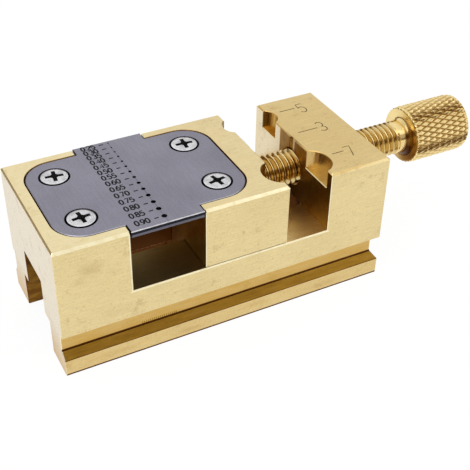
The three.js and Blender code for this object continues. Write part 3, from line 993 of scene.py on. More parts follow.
@dataclass(frozen=True)
class StrokeDigits:
    """Digits drawn with a single line, as an engraving point draws them."""

    width: float
    height: float
    gap: float

    def shapes(self) -> dict[str, list[Stroke]]:
        """Draws each digit once.

        Returns:
            The strokes of each digit, as shares of its width and height.
        """
        hook = [(0.03, 0.4), (0.16, 0.68), (0.42, 0.9), (0.8, 1.0)]
        six = [flat_arc((0.5, 0.3), (0.5, 0.3), 160, 520, 20), hook]
        upper_bow = flat_arc((0.45, 0.75), (0.47, 0.25), 150, -80)
        lower_bow = flat_arc((0.45, 0.25), (0.55, 0.25), 80, -150)
        rings = ((0.5, 0.26), (0.5, 0.26)), ((0.5, 0.77), (0.42, 0.23))
        return {
            ".": [[(0.0, 0.0), (0.0, 0.06)]],
            "0": [flat_arc((0.5, 0.5), (0.5, 0.5), 90, 450, 24)],
            "2": [[*flat_arc((0.5, 0.72), (0.5, 0.28), 165, -35), (0.0, 0.0), (1.0, 0.0)]],
            "3": [[*upper_bow, *lower_bow]],
            "4": [[(0.8, 0.0), (0.8, 1.0), (0.0, 0.3), (1.0, 0.3)]],
            "5": [[(0.95, 1.0), (0.15, 1.0), (0.05, 0.55), *flat_arc((0.45, 0.32), (0.55, 0.32), 135, -145)]],
            "6": six,
            "7": [[(0.0, 1.0), (1.0, 1.0), (0.3, 0.0)]],
            "8": [flat_arc(centre, radii, 90, 450, 20) for centre, radii in rings],
            "9": [[(1 - x, 1 - y) for x, y in stroke] for stroke in six],
        }

    def write(self, text: str, left: float, bottom: float) -> list[Stroke]:
        """Draws a row of digits.

        Args:
            text: Digits and points.
            left: Where the row starts along X.
            bottom: Its foot along Y.

        Returns:
            The row's strokes.
        """
        shapes = self.shapes()
        strokes: list[Stroke] = []
        for letter in text:
            width = 0.0 if letter == "." else self.width
            for stroke in shapes[letter]:
                strokes.append([(left + x * self.width, bottom + y * self.height) for x, y in stroke])
            left += width + self.gap
        return strokes


# Pieces


class Maker(Protocol):
    """Anything that builds pieces of the vise."""

    def build(self) -> list[bpy.types.Object]:
        """Makes the pieces."""


@dataclass(frozen=True)
class Zone:
    """Box in millimetres in which faces or corners get dirt and painted shade, painted light, or worn bright
    edges with painted highlight, in their own way.
    """

    x: Span
    y: Span
    z: Span
    soil_and_shade: float = 0.0
    wear_and_highlight: float = 0.0
    pale_light: float = 0.0

    def holds(self, point: Vector) -> bool:
        """Whether a point lies in the box."""
        return all(low <= value <= high for (low, high), value in zip((self.x, self.y, self.z), point))


def on_both_sides(*zones: Zone) -> tuple[Zone, ...]:
    """Repeats zones of the front at the rear."""
    return (*zones, *(replace(zone, y=(-zone.y[1], -zone.y[0])) for zone in zones))


@dataclass(frozen=True)
class Split:
    """Plane that divides the faces of a zone, so that their parts are marked apart."""

    zone: Zone
    axis: Axis
    place: float


@dataclass
class MilledPiece:
    """A CAD solid whose outer corners are broken with a small flat and worn bright, which also paints
    highlight lines along them.

    The first zone that holds a face's or a corner's middle gives its marks.
    """

    node: str
    body: Body
    slot: Slot
    finish: Finish
    flat: float = 0.1
    spare: float = 0.02
    least_edge: float = 0.25
    least_turn: float = 50.0
    inner_turn: float = 20.0
    smooth_below: float = 30.0
    sharp_plane: float | None = None
    sharp_reach: float = 0.1
    splits: tuple[Split, ...] = ()
    zones: tuple[Zone, ...] = ()
    corners: tuple[Zone, ...] = ()

    def solid(self) -> Geometry:
        """Copies the CAD solid, merges its loose triangles, splits faces and marks its zones.

        Returns:
            The solid in millimetres.
        """
        bm = geometry_of(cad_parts[self.node].data)
        bmesh.ops.transform(bm, matrix=to_frame().inverted(), verts=bm.verts)
        bmesh.ops.remove_doubles(bm, verts=bm.verts, dist=TOUCHING_MM)
        for split in self.splits:
            faces = [face for face in bm.faces if split.zone.holds(face.calc_center_median())]
            geometry = {*faces, *(edge for face in faces for edge in face.edges)}
            geometry |= {vert for face in faces for vert in face.verts}
            bmesh.ops.bisect_plane(
                bm, geom=list(geometry), dist=SMALLEST_MM,
                plane_co=split.axis.at(split.place), plane_no=split.axis.value,
            )
        bm.normal_update()
        layers = {mark: bm.faces.layers.float.new(mark.value) for mark in (Mark.EDGE, Mark.PAINTED_PALE, Mark.SOIL_AND_SHADE)}
        for face in bm.faces:
            centre = face.calc_center_median()
            zone = next((zone for zone in self.zones if zone.holds(centre)), None)
            # The zone gives the face dirt and painted shade, worn bright edges with painted highlight, and
            # painted light
            if zone is not None:
                face[layers[Mark.SOIL_AND_SHADE]] = zone.soil_and_shade
                face[layers[Mark.EDGE]] = zone.wear_and_highlight
                face[layers[Mark.PAINTED_PALE]] = zone.pale_light
        return bm

    def is_corner(self, edge: bmesh.types.BMEdge) -> bool:
        """Whether an edge is an outer corner that gets broken.

        Args:
            edge: The edge.

        Returns:
            True for an outer corner away from the plane that stays sharp.
        """
        if not edge.is_manifold or not edge.is_convex or edge.calc_length() < self.least_edge:
            return False
        if edge.calc_face_angle() < math.radians(self.least_turn):
            return False
        plane = self.sharp_plane
        return plane is None or any(abs(vert.co.x - plane) > self.sharp_reach for vert in edge.verts)

    def reach_past(self, vert: bmesh.types.BMVert, edge: bmesh.types.BMEdge) -> float:
        """How far a corner's cutter runs past its end.

        Args:
            vert: The end.
            edge: The corner's edge.

        Returns:
            Nothing where the edge meets an inner corner, or else the spare length.
        """
        others = [other for other in vert.link_edges if other is not edge and other.is_manifold]
        least = math.radians(self.inner_turn)
        inner = any(not other.is_convex and other.calc_face_angle() > least for other in others)
        return 0.0 if inner else self.spare

    def corner_cutter(self, bm: Geometry) -> Geometry:
        """Lays a thin box along every outer corner, which takes the corner off.

        Args:
            bm: The solid in millimetres.

        Returns:
            The boxes, with their faces marked as edges.
        """
        cutter = bmesh.new()
        marks = (Mark.EDGE, Mark.SOIL_AND_SHADE, Mark.PAINTED_PALE)
        layers = {mark: cutter.faces.layers.float.new(mark.value) for mark in marks}
        for edge in filter(self.is_corner, bm.edges):
            start, end = (vert.co.copy() for vert in edge.verts)
            along = (end - start).normalized()
            legs = []
            for face in edge.link_faces:
                leg = face.normal.cross(along).normalized()
                inward = leg.dot(face.calc_center_median() - start) > 0
                legs.append(leg if inward else -leg)
            out = sum((face.normal for face in edge.link_faces), Vector()).normalized()
            chord = legs[1] - legs[0]
            start -= along * self.reach_past(edge.verts[0], edge)
            end += along * self.reach_past(edge.verts[1], edge)
            centre = (start + end) / 2 + (legs[0] + legs[1]) * self.flat / 2 + out * self.flat / 2
            turn = Matrix((along, chord.normalized(), out)).transposed().to_4x4()
            size = ((end - start).length, chord.length * self.flat + 2 * self.spare, self.flat, 1.0)
            place = Matrix.Translation(centre) @ turn @ Matrix.Diagonal(size)
            box = bmesh.ops.create_cube(cutter, size=1.0, matrix=place)
            zone = next((zone for zone in self.corners if zone.holds((start + end) / 2)), None)
            for face in {face for vert in box["verts"] for face in vert.link_faces}:
                # Corners outside zones are worn bright with painted highlight; zones give some dirt and
                # painted shade instead
                face[layers[Mark.EDGE]] = 1.0 if zone is None else zone.wear_and_highlight
                face[layers[Mark.SOIL_AND_SHADE]] = 0.0 if zone is None else zone.soil_and_shade
        bmesh.ops.recalc_face_normals(cutter, faces=cutter.faces)
        return cutter

    def broken(self, *more: Geometry) -> bpy.types.Mesh:
        """Breaks the solid's outer corners.

        Args:
            *more: Other closed shapes that are cut out with them.

        Returns:
            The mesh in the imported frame.
        """
        solid = self.solid()
        cutter = mesh_from(joined([self.corner_cutter(solid), *more]), "corners")
        materials = [self.finish.material(), FINISHES.engraving.material()][: 2 if more else 1]
        return carved(mesh_from(solid, self.node, materials), cutter, self.node)

    def finished(self, mesh: bpy.types.Mesh) -> bpy.types.Object:
        """Puts the mesh on its body in place of the CAD solid.

        Args:
            mesh: The piece's mesh.

        Returns:
            The piece.
        """
        piece = new_object(f"{self.node}_finished", mesh)
        smooth_by_angle(piece, self.smooth_below)
        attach(piece, self.body.value)
        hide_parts(self.node)
        return piece

    def build(self) -> list[bpy.types.Object]:
        """Makes the piece."""
        return [self.finished(self.broken())]


@dataclass
class EngravedBody(MilledPiece):
    """The vise's body, with a number and a leader line engraved beside each seat."""

    top: float = 23.7
    digit_width: float = 1.25
    digit_height: float = 2.85
    line_radius: float = 0.1
    line_lift: float = 0.02
    numbers: tuple[tuple[str, float, float], ...] = (
        ("5", 51.85, 6.55), ("3", 51.7, -0.35), ("7", 51.8, -9.1),
    )
    leaders: tuple[Triple, ...] = ((48.31, 51.37, 8.4), (47.75, 51.45, 0.97), (49.2, 51.4, -7.25))

    def strokes(self) -> list[Stroke]:
        """Lines of the numbers and their leaders.

        Returns:
            The strokes on the block's top, in millimetres.
        """
        digits = StrokeDigits(self.digit_width, self.digit_height, 0.0)
        lines = [[(start, y), (end, y)] for start, end, y in self.leaders]
        for text, left, bottom in self.numbers:
            lines.extend(digits.write(text, left, bottom))
        return lines

    def build(self) -> list[bpy.types.Object]:
        """Makes the body and cuts its engraving.

        Returns:
            The body alone.
        """
        engraving = stroke_tubes(self.strokes(), self.line_radius, self.top + self.line_lift)
        # The engraved lines get the dark colour of painted shade
        for face in engraving.faces:
            face.material_index = 1
        return [self.finished(self.broken(engraving))]


@dataclass
class SteelPlate(MilledPiece):
    """A ground plate whose sides and holes stay dark, partly as painted shade, with chamfers along the front
    and the rear worn bright, which also paints highlight lines.
    """

    side_steepness: float = 0.3
    slope_steepness: float = 0.95
    chamfer_place: float = 12.3

    def solid(self) -> Geometry:
        """Marks the chamfers worn bright with painted highlight, and paints shade on every other face that
        the grinding left out.

        Returns:
            The marked solid in millimetres.
        """
        bm = super().solid()
        soil_and_shade, wear_and_highlight = (bm.faces.layers.float[mark.value] for mark in (Mark.SOIL_AND_SHADE, Mark.EDGE))
        for face in bm.faces:
            steep = face.normal.z < self.side_steepness
            if not steep and abs(face.calc_center_median().y) > self.chamfer_place:
                face[wear_and_highlight] = 1.0
            elif face[soil_and_shade] == 0.0 and face.normal.z < self.slope_steepness:
                face[soil_and_shade] = 1.0
        return bm


@dataclass
class GaugeScale:
    """Numbers and ticks beside the gauge holes, flush in the scale plate."""

    top: float = 23.7
    first_edge: float = -11.3
    largest: float = 0.9
    smallest: float = 0.25
    step: float = 0.05
    web: float = 1.16
    number_left: float = 13.2
    digits: StrokeDigits = StrokeDigits(0.55, 1.16, 0.2)
    stroke: float = 0.26
    tick_start: float = 16.27
    tick_end: float = 16.95
    proud: float = 0.004

    def rows(self) -> list[tuple[float, float]]:
        """Diameter and place across the vise of each gauge hole.

        Returns:
            One pair for each hole, from the front.
        """
        count = round((self.largest - self.smallest) / self.step) + 1
        rows = []
        edge = self.first_edge
        for index in range(count):
            diameter = self.largest - index * self.step
            rows.append((diameter, edge + diameter / 2))
            edge += diameter + self.web
        return rows

    def build(self) -> list[bpy.types.Object]:
        """Makes the numbers and ticks as one thin inlay.

        Returns:
            The inlay alone.
        """
        strokes: list[Stroke] = []
        for diameter, y in self.rows():
            strokes.extend(self.digits.write(f"{diameter:.2f}", self.number_left, y - self.digits.height / 2))
            strokes.append([(self.tick_start, y), (self.tick_end, y)])
        bm = stroke_tubes(strokes, self.stroke / 2, 0.0)
        flat = Matrix.Scale(2 * self.proud / self.stroke, 4, Axis.HEIGHT.value)
        place = Matrix.Translation(Axis.HEIGHT.at(self.top)) @ flat
        bmesh.ops.transform(bm, matrix=place, verts=bm.verts)
        piece = new_object("gauge_scale", mesh_from(bm, "gauge_scale", [FINISHES.ink.material()]))
        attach(piece, Body.BASE.value)
        return [piece]


@dataclass
class PlateScrew:
    """Countersunk screw with a low dome and a cross recess."""

    node: str
    body: Body
    x: float
    y: float
    turn: float
    top: float = 23.7
    head_radius: float = 2.3
    shank_radius: float = 1.2
    dome: float = 0.182
    rim: float = 0.16
    flank: float = 0.05
    bevel_width: float = 0.26
    bevel_height: float = 0.12
    bevel_rub_and_highlight: float = 0.5
    length: float = 5.6
    point: float = 0.4
    arm_width: float = 0.68
    arm_span: float = 3.0
    foot_width: float = 0.7
    foot_span: float = 0.42
    mouth_span: float = 1.12
    recess_depth: float = 0.85
    recess_rise: float = 0.2
    socket_radius: float = 0.72
    socket_foot: float = 0.3
    socket_length: float = 1.15
    socket_facets: int = 32
    dome_steps: int = 8
    facets: int = 72
    smooth_below: float = 32.0

    def solid(self) -> Geometry:
        """Turns the screw without its recess.

        Returns:
            The turned geometry in millimetres.
        """
        head, shank = self.head_radius, self.shank_radius
        crown, rise = head - self.bevel_width, self.dome - self.bevel_height
        dome_radius = (crown**2 + rise**2) / (2 * rise)
        half_angle = math.degrees(math.asin(crown / dome_radius))
        dome = profile_arc((0.0, self.dome - dome_radius), dome_radius, half_angle, 0.0, self.dome_steps)
        dome[-1] = (0.0, self.dome)
        profile = [
            (0.0, -self.length),
            (shank - self.point, -self.length),
            (shank, -self.length + self.point),
            (shank, shank - head),
            (head - self.rim, -self.rim),
            (head - self.rim, self.flank),
            *dome,
        ]
        bm = turned(profile, Axis.HEIGHT, Vector((self.x, self.y, self.top)), self.facets)
        radius = bm.verts.layers.float.new(Mark.RADIUS.value)
        wear_and_highlight = bm.faces.layers.float.new(Mark.EDGE.value)
        for vert in bm.verts:
            vert[radius] = math.hypot(vert.co.x - self.x, vert.co.y - self.y)
        for face in bm.faces:
            centre = face.calc_center_median()
            # Faces below the rim get the dark recess colour: a painted shadow round the head
            if centre.z < self.top + self.flank:
                face.material_index = 1
            # Outer bevel ring worn bright, also a painted highlight ring
            elif math.hypot(centre.x - self.x, centre.y - self.y) > crown:
                face[wear_and_highlight] = self.bevel_rub_and_highlight
        return bm

    def recess(self) -> Geometry:
        """Makes the cross with its tapered arms and the round socket at their crossing.

        Returns:
            The cutter in millimetres, with the second material.
        """
        arms = []
        for quarter in (0.0, math.pi / 2):
            arm = bmesh.new()
            bmesh.ops.create_cube(arm, size=1.0)
            for vert in arm.verts:
                low = vert.co.z < 0
                vert.co.x *= self.arm_span * (self.foot_span if low else self.mouth_span)
                vert.co.y *= self.arm_width * (self.foot_width if low else 1.0)
                vert.co.z = self.dome - self.recess_depth if low else self.dome + self.recess_rise
            bmesh.ops.rotate(arm, matrix=Matrix.Rotation(quarter, 3, "Z"), verts=arm.verts)
            arms.append(arm)
        socket = bmesh.new()
        bmesh.ops.create_cone(
            socket, cap_ends=True, segments=self.socket_facets, radius1=self.socket_foot * self.socket_radius,
            radius2=self.socket_radius, depth=self.socket_length,
        )
        middle = self.dome + self.recess_rise - self.socket_length / 2
        bmesh.ops.translate(socket, vec=Axis.HEIGHT.at(middle), verts=socket.verts)
        cross = joined([*arms, socket])
        spin = Matrix.Rotation(math.radians(self.turn), 4, "Z")
        place = Matrix.Translation((self.x, self.y, self.top)) @ spin
        bmesh.ops.transform(cross, matrix=place, verts=cross.verts)
        # The cross recess gets the dark colour of painted shade
        for face in cross.faces:
            face.material_index = 1
        return cross

    def build(self) -> list[bpy.types.Object]:
        """Makes the screw and cuts its recess.

        Returns:
            The screw alone.
        """
        materials = [FINISHES.bright.material(), FINISHES.recess.material()]
        blank = mesh_from(self.solid(), self.node, materials)
        mesh = carved(blank, mesh_from(self.recess(), "recess", materials), self.node)
        piece = new_object(f"{self.node}_head", mesh)
        smooth_by_angle(piece, self.smooth_below)
        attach(piece, self.body.value)
        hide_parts(self.node)
        return [piece]


@dataclass
class ThumbScrew:
    """Screw turned from one bar: plain journal, thread, hollowed neck and knurled knob."""

    axis_height: float = 18.2
    journal_tip: float = 27.1
    journal_radius: float = 2.0
    journal_chamfer: float = 0.3
    journal_root: float = 0.5
    journal_facets: int = 64
    catch_start: float = 29.4
    catch_end: float = 31.0
    catch_depth: float = 0.6
    shoulder: float = 33.5
    thread_end: float = 66.5
    thread_radius: float = 2.95
    pitch: float = 1.0
    thread_depth: float = 0.613
    root_land: float = 0.2
    crest_shape: tuple[Point, ...] = ((-0.02, 0.53), (0.0, 0.56), (0.0, 0.64), (-0.02, 0.67))
    thread_facets: int = 32
    weld: float = 0.002
    clean_ends: float = 0.1
    knob_face: float = 68.8
    knob_end: float = 80.3
    knob_radius: float = 5.1
    neck_flare: float = 0.85
    neck_steps: int = 10
    neck_facets: int = 96
    neck_root: float = 0.6
    neck_foot: Point = (-0.35, -0.05)
    neck_shoulder: Point = (0.0, 0.3)
    neck_below_crest: float = 0.02
    rounding: float = 0.6
    rounding_steps: int = 6
    grooves: int = 33
    bands: int = 8
    band_steps: int = 6
    knurl_turn: float = 2.0
    knurl_shift: float = 0.25
    knurl_depth: float = 0.3
    knurl_flat: float = 0.15
    # Dirt and painted shade in the grooves; crests worn bright with painted highlight
    knurl_soil_and_shade: float = 0.42
    thread_soil_and_shade: float = 0.68
    clean_depth: float = 0.4
    crest_share: float = 0.12
    crest_rub_and_highlight: float = 0.5
    # Painted shade on the cove and the knob's inner face, most towards the front and down
    cove_shade: float = 0.95
    face_shade: float = 0.6
    face_reach: Span = (-0.01, 0.2)
    shaded_side: Triple = (0.0, -0.86, -0.51)
    smooth_below: float = 28.0

    @property
    def centre(self) -> Vector:
        """Point on the screw's axis, at the body's left end."""
        return Axis.HEIGHT.at(self.axis_height)

    def from_axis(self, point: Vector) -> float:
        """Distance of a point from the screw's axis."""
        return math.hypot(point.y, point.z - self.axis_height)

    def thread(self) -> Geometry:
        """Winds one turn of the thread's profile along the shank and trims both ends.

        Returns:
            The closed thread in millimetres.
        """
        crest = self.thread_radius
        root = crest - self.thread_depth * self.pitch
        top = [(crest + off, along) for off, along in self.crest_shape]
        profile = [(root, 0.0), (root, self.root_land), *top, (root, 1.0)]
        bm = bmesh.new()
        start = self.shoulder - 2 * self.pitch
        places = [(start + along * self.pitch, 0.0, self.axis_height + radius) for radius, along in profile]
        verts = [bm.verts.new(place) for place in places]
        edges = [bm.edges.new(pair) for pair in zip(verts, verts[1:])]
        turns = math.ceil((self.thread_end - start) / self.pitch) + 2
        bmesh.ops.spin(
            bm, geom=verts + edges, cent=(start, 0.0, self.axis_height), axis=Axis.LENGTH.value,
            dvec=Axis.LENGTH.at(self.pitch / self.thread_facets), angle=2 * math.pi * turns,
            steps=self.thread_facets * turns, use_merge=False, use_duplicate=False,
        )
        bmesh.ops.remove_doubles(bm, verts=bm.verts, dist=self.weld)
        for place, side in ((self.shoulder, -1.0), (self.thread_end, 1.0)):
            cut = bmesh.ops.bisect_plane(
                bm, geom=[*bm.verts, *bm.edges, *bm.faces], plane_co=Axis.LENGTH.at(place),
                plane_no=Axis.LENGTH.at(side), clear_outer=True, dist=SMALLEST_MM,
            )
            rim = [item for item in cut["geom_cut"] if isinstance(item, bmesh.types.BMEdge)]
            bmesh.ops.edgeloop_fill(bm, edges=rim)
        bmesh.ops.recalc_face_normals(bm, faces=bm.faces)
        # Thread grooves get dirt and painted shade, its crests a worn bright band with painted highlight
        marked = (self.shoulder + self.clean_ends, self.thread_end - self.clean_ends)
        self.mark_grooves(bm, marked, crest, crest - root, self.thread_soil_and_shade)
        return bm

    def shank(self) -> Geometry:
        """Turns the plain journal that the jaw holds.

        Returns:
            The closed journal in millimetres.
        """
        radius = self.journal_radius
        profile = [
            (0.0, self.journal_tip),
            (radius - self.journal_chamfer, self.journal_tip),
            (radius, self.journal_tip + self.journal_chamfer),
            (radius, self.catch_start),
            (radius - self.catch_depth, self.catch_start),
            (radius - self.catch_depth, self.catch_end),
            (radius, self.catch_end),
            (radius, self.shoulder + self.journal_root),
            (0.0, self.shoulder + self.journal_root),
        ]
        return turned(profile, Axis.LENGTH, self.centre, self.journal_facets)

    def neck(self) -> Geometry:
        """Turns the hollowed neck between the thread and the knob.

        Returns:
            The closed neck in millimetres.
        """
        radius = self.thread_radius - self.neck_below_crest
        flare = self.neck_flare
        start = [(radius + off, self.thread_end + on) for off, on in (self.neck_foot, self.neck_shoulder)]
        profile = [
            (0.0, start[0][1]),
            *start,
            *profile_arc((radius + flare, self.knob_face - flare), flare, -90.0, 0.0, self.neck_steps),
            (radius + flare, self.knob_face + self.neck_root),
            (0.0, self.knob_face + self.neck_root),
        ]
        bm = turned(profile, Axis.LENGTH, self.centre, self.neck_facets)
        bm.faces.layers.float.new(Mark.SOIL_AND_SHADE.value)
        # Painted shade on the cove, darkest towards the front and down
        self.shade_between(bm, self.knob_face - flare, self.knob_face, self.cove_shade)
        return bm

    @property
    def barrel(self) -> Span:
        """Where the knob is straight, between its roundings."""
        return self.knob_face + self.rounding, self.knob_end - self.rounding

    def knob_outline(self) -> list[Point]:
        """Turned outline of the knob, in even steps where it is knurled.

        Returns:
            Points as radius and place, from the axis at the face to the axis at the end.
        """
        start, end = self.barrel
        rim = self.knob_radius - self.rounding
        count = self.bands * self.band_steps
        places = [start + (end - start) * index / count for index in range(1, count)]
        return [
            (0.0, self.knob_face),
            *profile_arc((rim, start), self.rounding, 180.0, 90.0, self.rounding_steps),
            *[(self.knob_radius, place) for place in places],
            *profile_arc((rim, end), self.rounding, 90.0, 0.0, self.rounding_steps),
            (0.0, self.knob_end),
        ]

    def knurl_radius(self, angle: float, place: float) -> float:
        """Radius that two crossing sets of grooves leave.

        Args:
            angle: Degrees round the knob, from its front upwards.
            place: Place along the screw.

        Returns:
            The radius at that point of the knurl.
        """
        start, end = self.barrel
        across = self.grooves * (angle - self.knurl_turn) / 360.0
        along = self.bands * (place - start) / (end - start) / 2 - self.knurl_shift
        away = min(abs(line - round(line)) for line in (across + along, across - along))
        height = min(2 * away / (1 - self.knurl_flat), 1.0)
        return self.knob_radius - self.knurl_depth * (1 - height)

    def knob(self) -> Geometry:
        """Turns the knob and presses the diamond knurl into it.

        Returns:
            The closed knob in millimetres.
        """
        columns = 2 * self.grooves * self.band_steps
        centre = self.centre
        bm = turned(self.knob_outline(), Axis.LENGTH, centre, columns)
        lag = math.fmod(90.0 - self.knurl_turn, 360.0 / columns)
        bmesh.ops.rotate(bm, cent=centre, matrix=Matrix.Rotation(math.radians(lag), 3, "X"), verts=bm.verts)
        for vert in bm.verts:
            offset = vert.co - centre
            radius = math.hypot(offset.y, offset.z)
            if radius > self.knob_radius - self.rounding:
                angle = math.degrees(math.atan2(offset.z, -offset.y))
                pressed = min(radius, self.knurl_radius(angle, vert.co.x))
                vert.co.y = centre.y + offset.y * pressed / radius
                vert.co.z = centre.z + offset.z * pressed / radius
        for face in [face for face in bm.faces if len(face.verts) == 4]:
            corners = sorted(face.verts, key=lambda vert: self.from_axis(vert.co))
            if not any(edge.other_vert(corners[0]) is corners[1] for edge in corners[0].link_edges):
                bmesh.utils.face_split(face, corners[0], corners[1])
        bmesh.ops.recalc_face_normals(bm, faces=bm.faces)
        # Knurl grooves get dirt and painted shade, its crests a worn bright band with painted highlight
        self.mark_grooves(bm, self.barrel, self.knob_radius, self.knurl_depth, self.knurl_soil_and_shade)
        # Painted shade on the knob's inner face, darkest towards the front and down
        self.shade_between(bm, *(self.knob_face + reach for reach in self.face_reach), self.face_shade)
        return bm

    def shade_between(self, bm: Geometry, start: float, end: float, value: float) -> None:
        """Paints shade on the faces between two places along the screw, most of all on the side towards the
        front and down.

        Args:
            bm: The geometry in millimetres, with its layer for the mark.
            start: First place.
            end: Last place.
            value: The painted shade in the middle of the shaded side.
        """
        soil_and_shade = bm.faces.layers.float[Mark.SOIL_AND_SHADE.value]
        side = Vector(self.shaded_side)
        for face in bm.faces:
            centre = face.calc_center_median()
            if start < centre.x < end:
                outward = Vector((0.0, centre.y, centre.z - self.axis_height))
                turned_to = outward.normalized().dot(side) if outward.length > 0.0 else 0.0
                face[soil_and_shade] = value * (0.5 + 0.5 * turned_to) ** 2

    def mark_grooves(self, bm: Geometry, ends: Span, crest: float, depth: float, most: float) -> None:
        """Marks dirt and painted shade in the grooves of a thread or a knurl, most at their bottom, and makes
        the crests worn bright with painted highlight.

        Args:
            bm: The geometry in millimetres.
            ends: Where it starts and ends along the screw.
            crest: Its outer radius.
            depth: Depth of its grooves.
            most: Mark at the bottom of the grooves.
        """
        soil_and_shade, wear_and_highlight = (bm.faces.layers.float.new(mark.value) for mark in (Mark.SOIL_AND_SHADE, Mark.EDGE))
        clean = self.clean_depth
        for face in bm.faces:
            middle = face.calc_center_median()
            share = (crest - self.from_axis(middle)) / depth
            if ends[0] < middle.x < ends[1]:
                face[soil_and_shade] = most * max(share - clean, 0.0) / (1 - clean)
                face[wear_and_highlight] = self.crest_rub_and_highlight if share < self.crest_share else 0.0

    def build(self) -> list[bpy.types.Object]:
        """Makes the whole screw as one piece.

        Returns:
            The screw alone.
        """
        whole = joined([self.shank(), self.thread(), self.neck(), self.knob()])
        mesh = mesh_from(whole, "thumb_screw", [FINISHES.turned.material()])
        piece = new_object("thumb_screw_turned", mesh)
        smooth_by_angle(piece, self.smooth_below)
        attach(piece, Body.SCREW.value)
        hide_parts("thumb_screw")
        return [piece]


@dataclass
class HiddenFittings:
    """CAD solids that keep their shape and get their finish: keeper, its screws and the set screw."""

    brass: tuple[str, ...] = ("jaw_keeper",)
    dark: tuple[str, ...] = ("keeper_screw_1", "keeper_screw_2", "journal_set_screw")

    def build(self) -> list[bpy.types.Object]:
        """Dresses the CAD solids.

        Returns:
            The dressed solids.
        """
        dressed = []
        for names, finish in ((self.brass, FINISHES.milled), (self.dark, FINISHES.dark)):
            for name in names:
                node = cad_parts[name]
                for slot in node.material_slots:
                    slot.material = finish.material()
                dressed.append(node)
        return dressed


# Studio


@dataclass
class SoftLight:
    """One square soft light that looks at the vise."""

    name: str
    place: Triple
    size: float
    power: float

    def build(self) -> bpy.types.Object:
        """Makes the light.

        Returns:
            The light's object.
        """
        lamp = bpy.data.lights.new(self.name, "AREA")
        lamp.shape = "SQUARE"
        lamp.size = self.size
        lamp.energy = self.power
        obj = new_object(self.name, lamp)
        obj.location = self.place
        obj.rotation_euler = (-Vector(self.place)).to_track_quat("-Z", "Y").to_euler()
        return obj


@dataclass
class Studio:
    """Pale floor, white surroundings and soft lights."""

    floor_size: float = 4.0
    floor_colour: Colour = rgb(0.82, 0.82, 0.82)
    floor_glow: float = 0.85
    floor_white: float = 1.09
    ambient: float = 0.55
    room: Colour = rgb(0.17, 0.105, 0.055)
    ceiling_lean: Triple = (0.0, 0.196, 0.981)
    ceiling_start: float = 0.34
    ceiling_full: float = 0.52
    lights: list[SoftLight] = field(
        default_factory=lambda: [
            SoftLight("key_light", (-0.3, -0.22, 0.5), 0.4, 0.7),
            SoftLight("fill_light", (0.45, -0.35, 0.35), 0.5, 0.35),
        ]
    )

    def seen(self, sheet: NodeSheet) -> Socket:
        """Mask that is 1 where the camera, a reflection or glass looks.

        Args:
            sheet: Nodes of the floor or the world.

        Returns:
            The mask's socket.
        """
        path = sheet.add("ShaderNodeLightPath").outputs
        shown = sheet.math("MAXIMUM", path["Is Camera Ray"], path["Is Glossy Ray"])
        return sheet.math("MAXIMUM", shown, path["Is Transmission Ray"])

    def floor(self) -> bpy.types.Object:
        """Lays the pale floor, which keeps the vise's shadow.

        Returns:
            The floor.
        """
        bm = bmesh.new()
        bmesh.ops.create_grid(bm, x_segments=1, y_segments=1, size=self.floor_size / 2)
        mesh = bpy.data.meshes.new("floor")
        bm.to_mesh(mesh)
        bm.free()
        material = bpy.data.materials.new("floor_paper")
        material.use_nodes = True
        sheet = NodeSheet(material.node_tree)
        paper = sheet.add("ShaderNodeBsdfDiffuse", {"Color": self.floor_colour})
        glow = sheet.add("ShaderNodeEmission", {"Color": WHITE, "Strength": self.floor_white})
        share = sheet.math("MULTIPLY", self.seen(sheet), self.floor_glow)
        blend = sheet.add("ShaderNodeMixShader", {0: share, 1: paper.outputs[0], 2: glow.outputs[0]})
        sheet.add("ShaderNodeOutputMaterial", {"Surface": blend.outputs[0]})
        mesh.materials.append(material)
        floor = new_object("floor", mesh)
        return floor

    def surroundings(self) -> None:
        """Makes the world white where it is seen, and lights evenly with it.

        Reflections show a white ceiling over a dim room that begins above the horizon.
        """
        world = bpy.data.worlds.new("studio")
        world.use_nodes = True
        sheet = NodeSheet(world.node_tree)
        level = sheet.math("MULTIPLY_ADD", self.seen(sheet), 1.0 - self.ambient, self.ambient)
        direction = sheet.add("ShaderNodeTexCoord").outputs["Generated"]
        rise = sheet.vector("DOT_PRODUCT", direction, self.ceiling_lean)
        limits = {"Value": rise, "From Min": self.ceiling_start, "From Max": self.ceiling_full}
        ceiling = sheet.add("ShaderNodeMapRange", limits, interpolation_type="SMOOTHSTEP").outputs["Result"]
        mirrored = sheet.add("ShaderNodeLightPath").outputs["Is Glossy Ray"]
        dim = sheet.math("MULTIPLY", mirrored, sheet.math("SUBTRACT", 1.0, ceiling))
        colour = sheet.mix(dim, WHITE, self.room)
        sky = sheet.add("ShaderNodeBackground", {"Color": colour, "Strength": level})
        sheet.add("ShaderNodeOutputWorld", {"Surface": sky.outputs[0]})
        bpy.context.scene.world = world

    def build(self) -> list[bpy.types.Object]:
        """Makes the surroundings, the floor and the lights."""
        self.surroundings()
        return [self.floor(), *[light.build() for light in self.lights]]


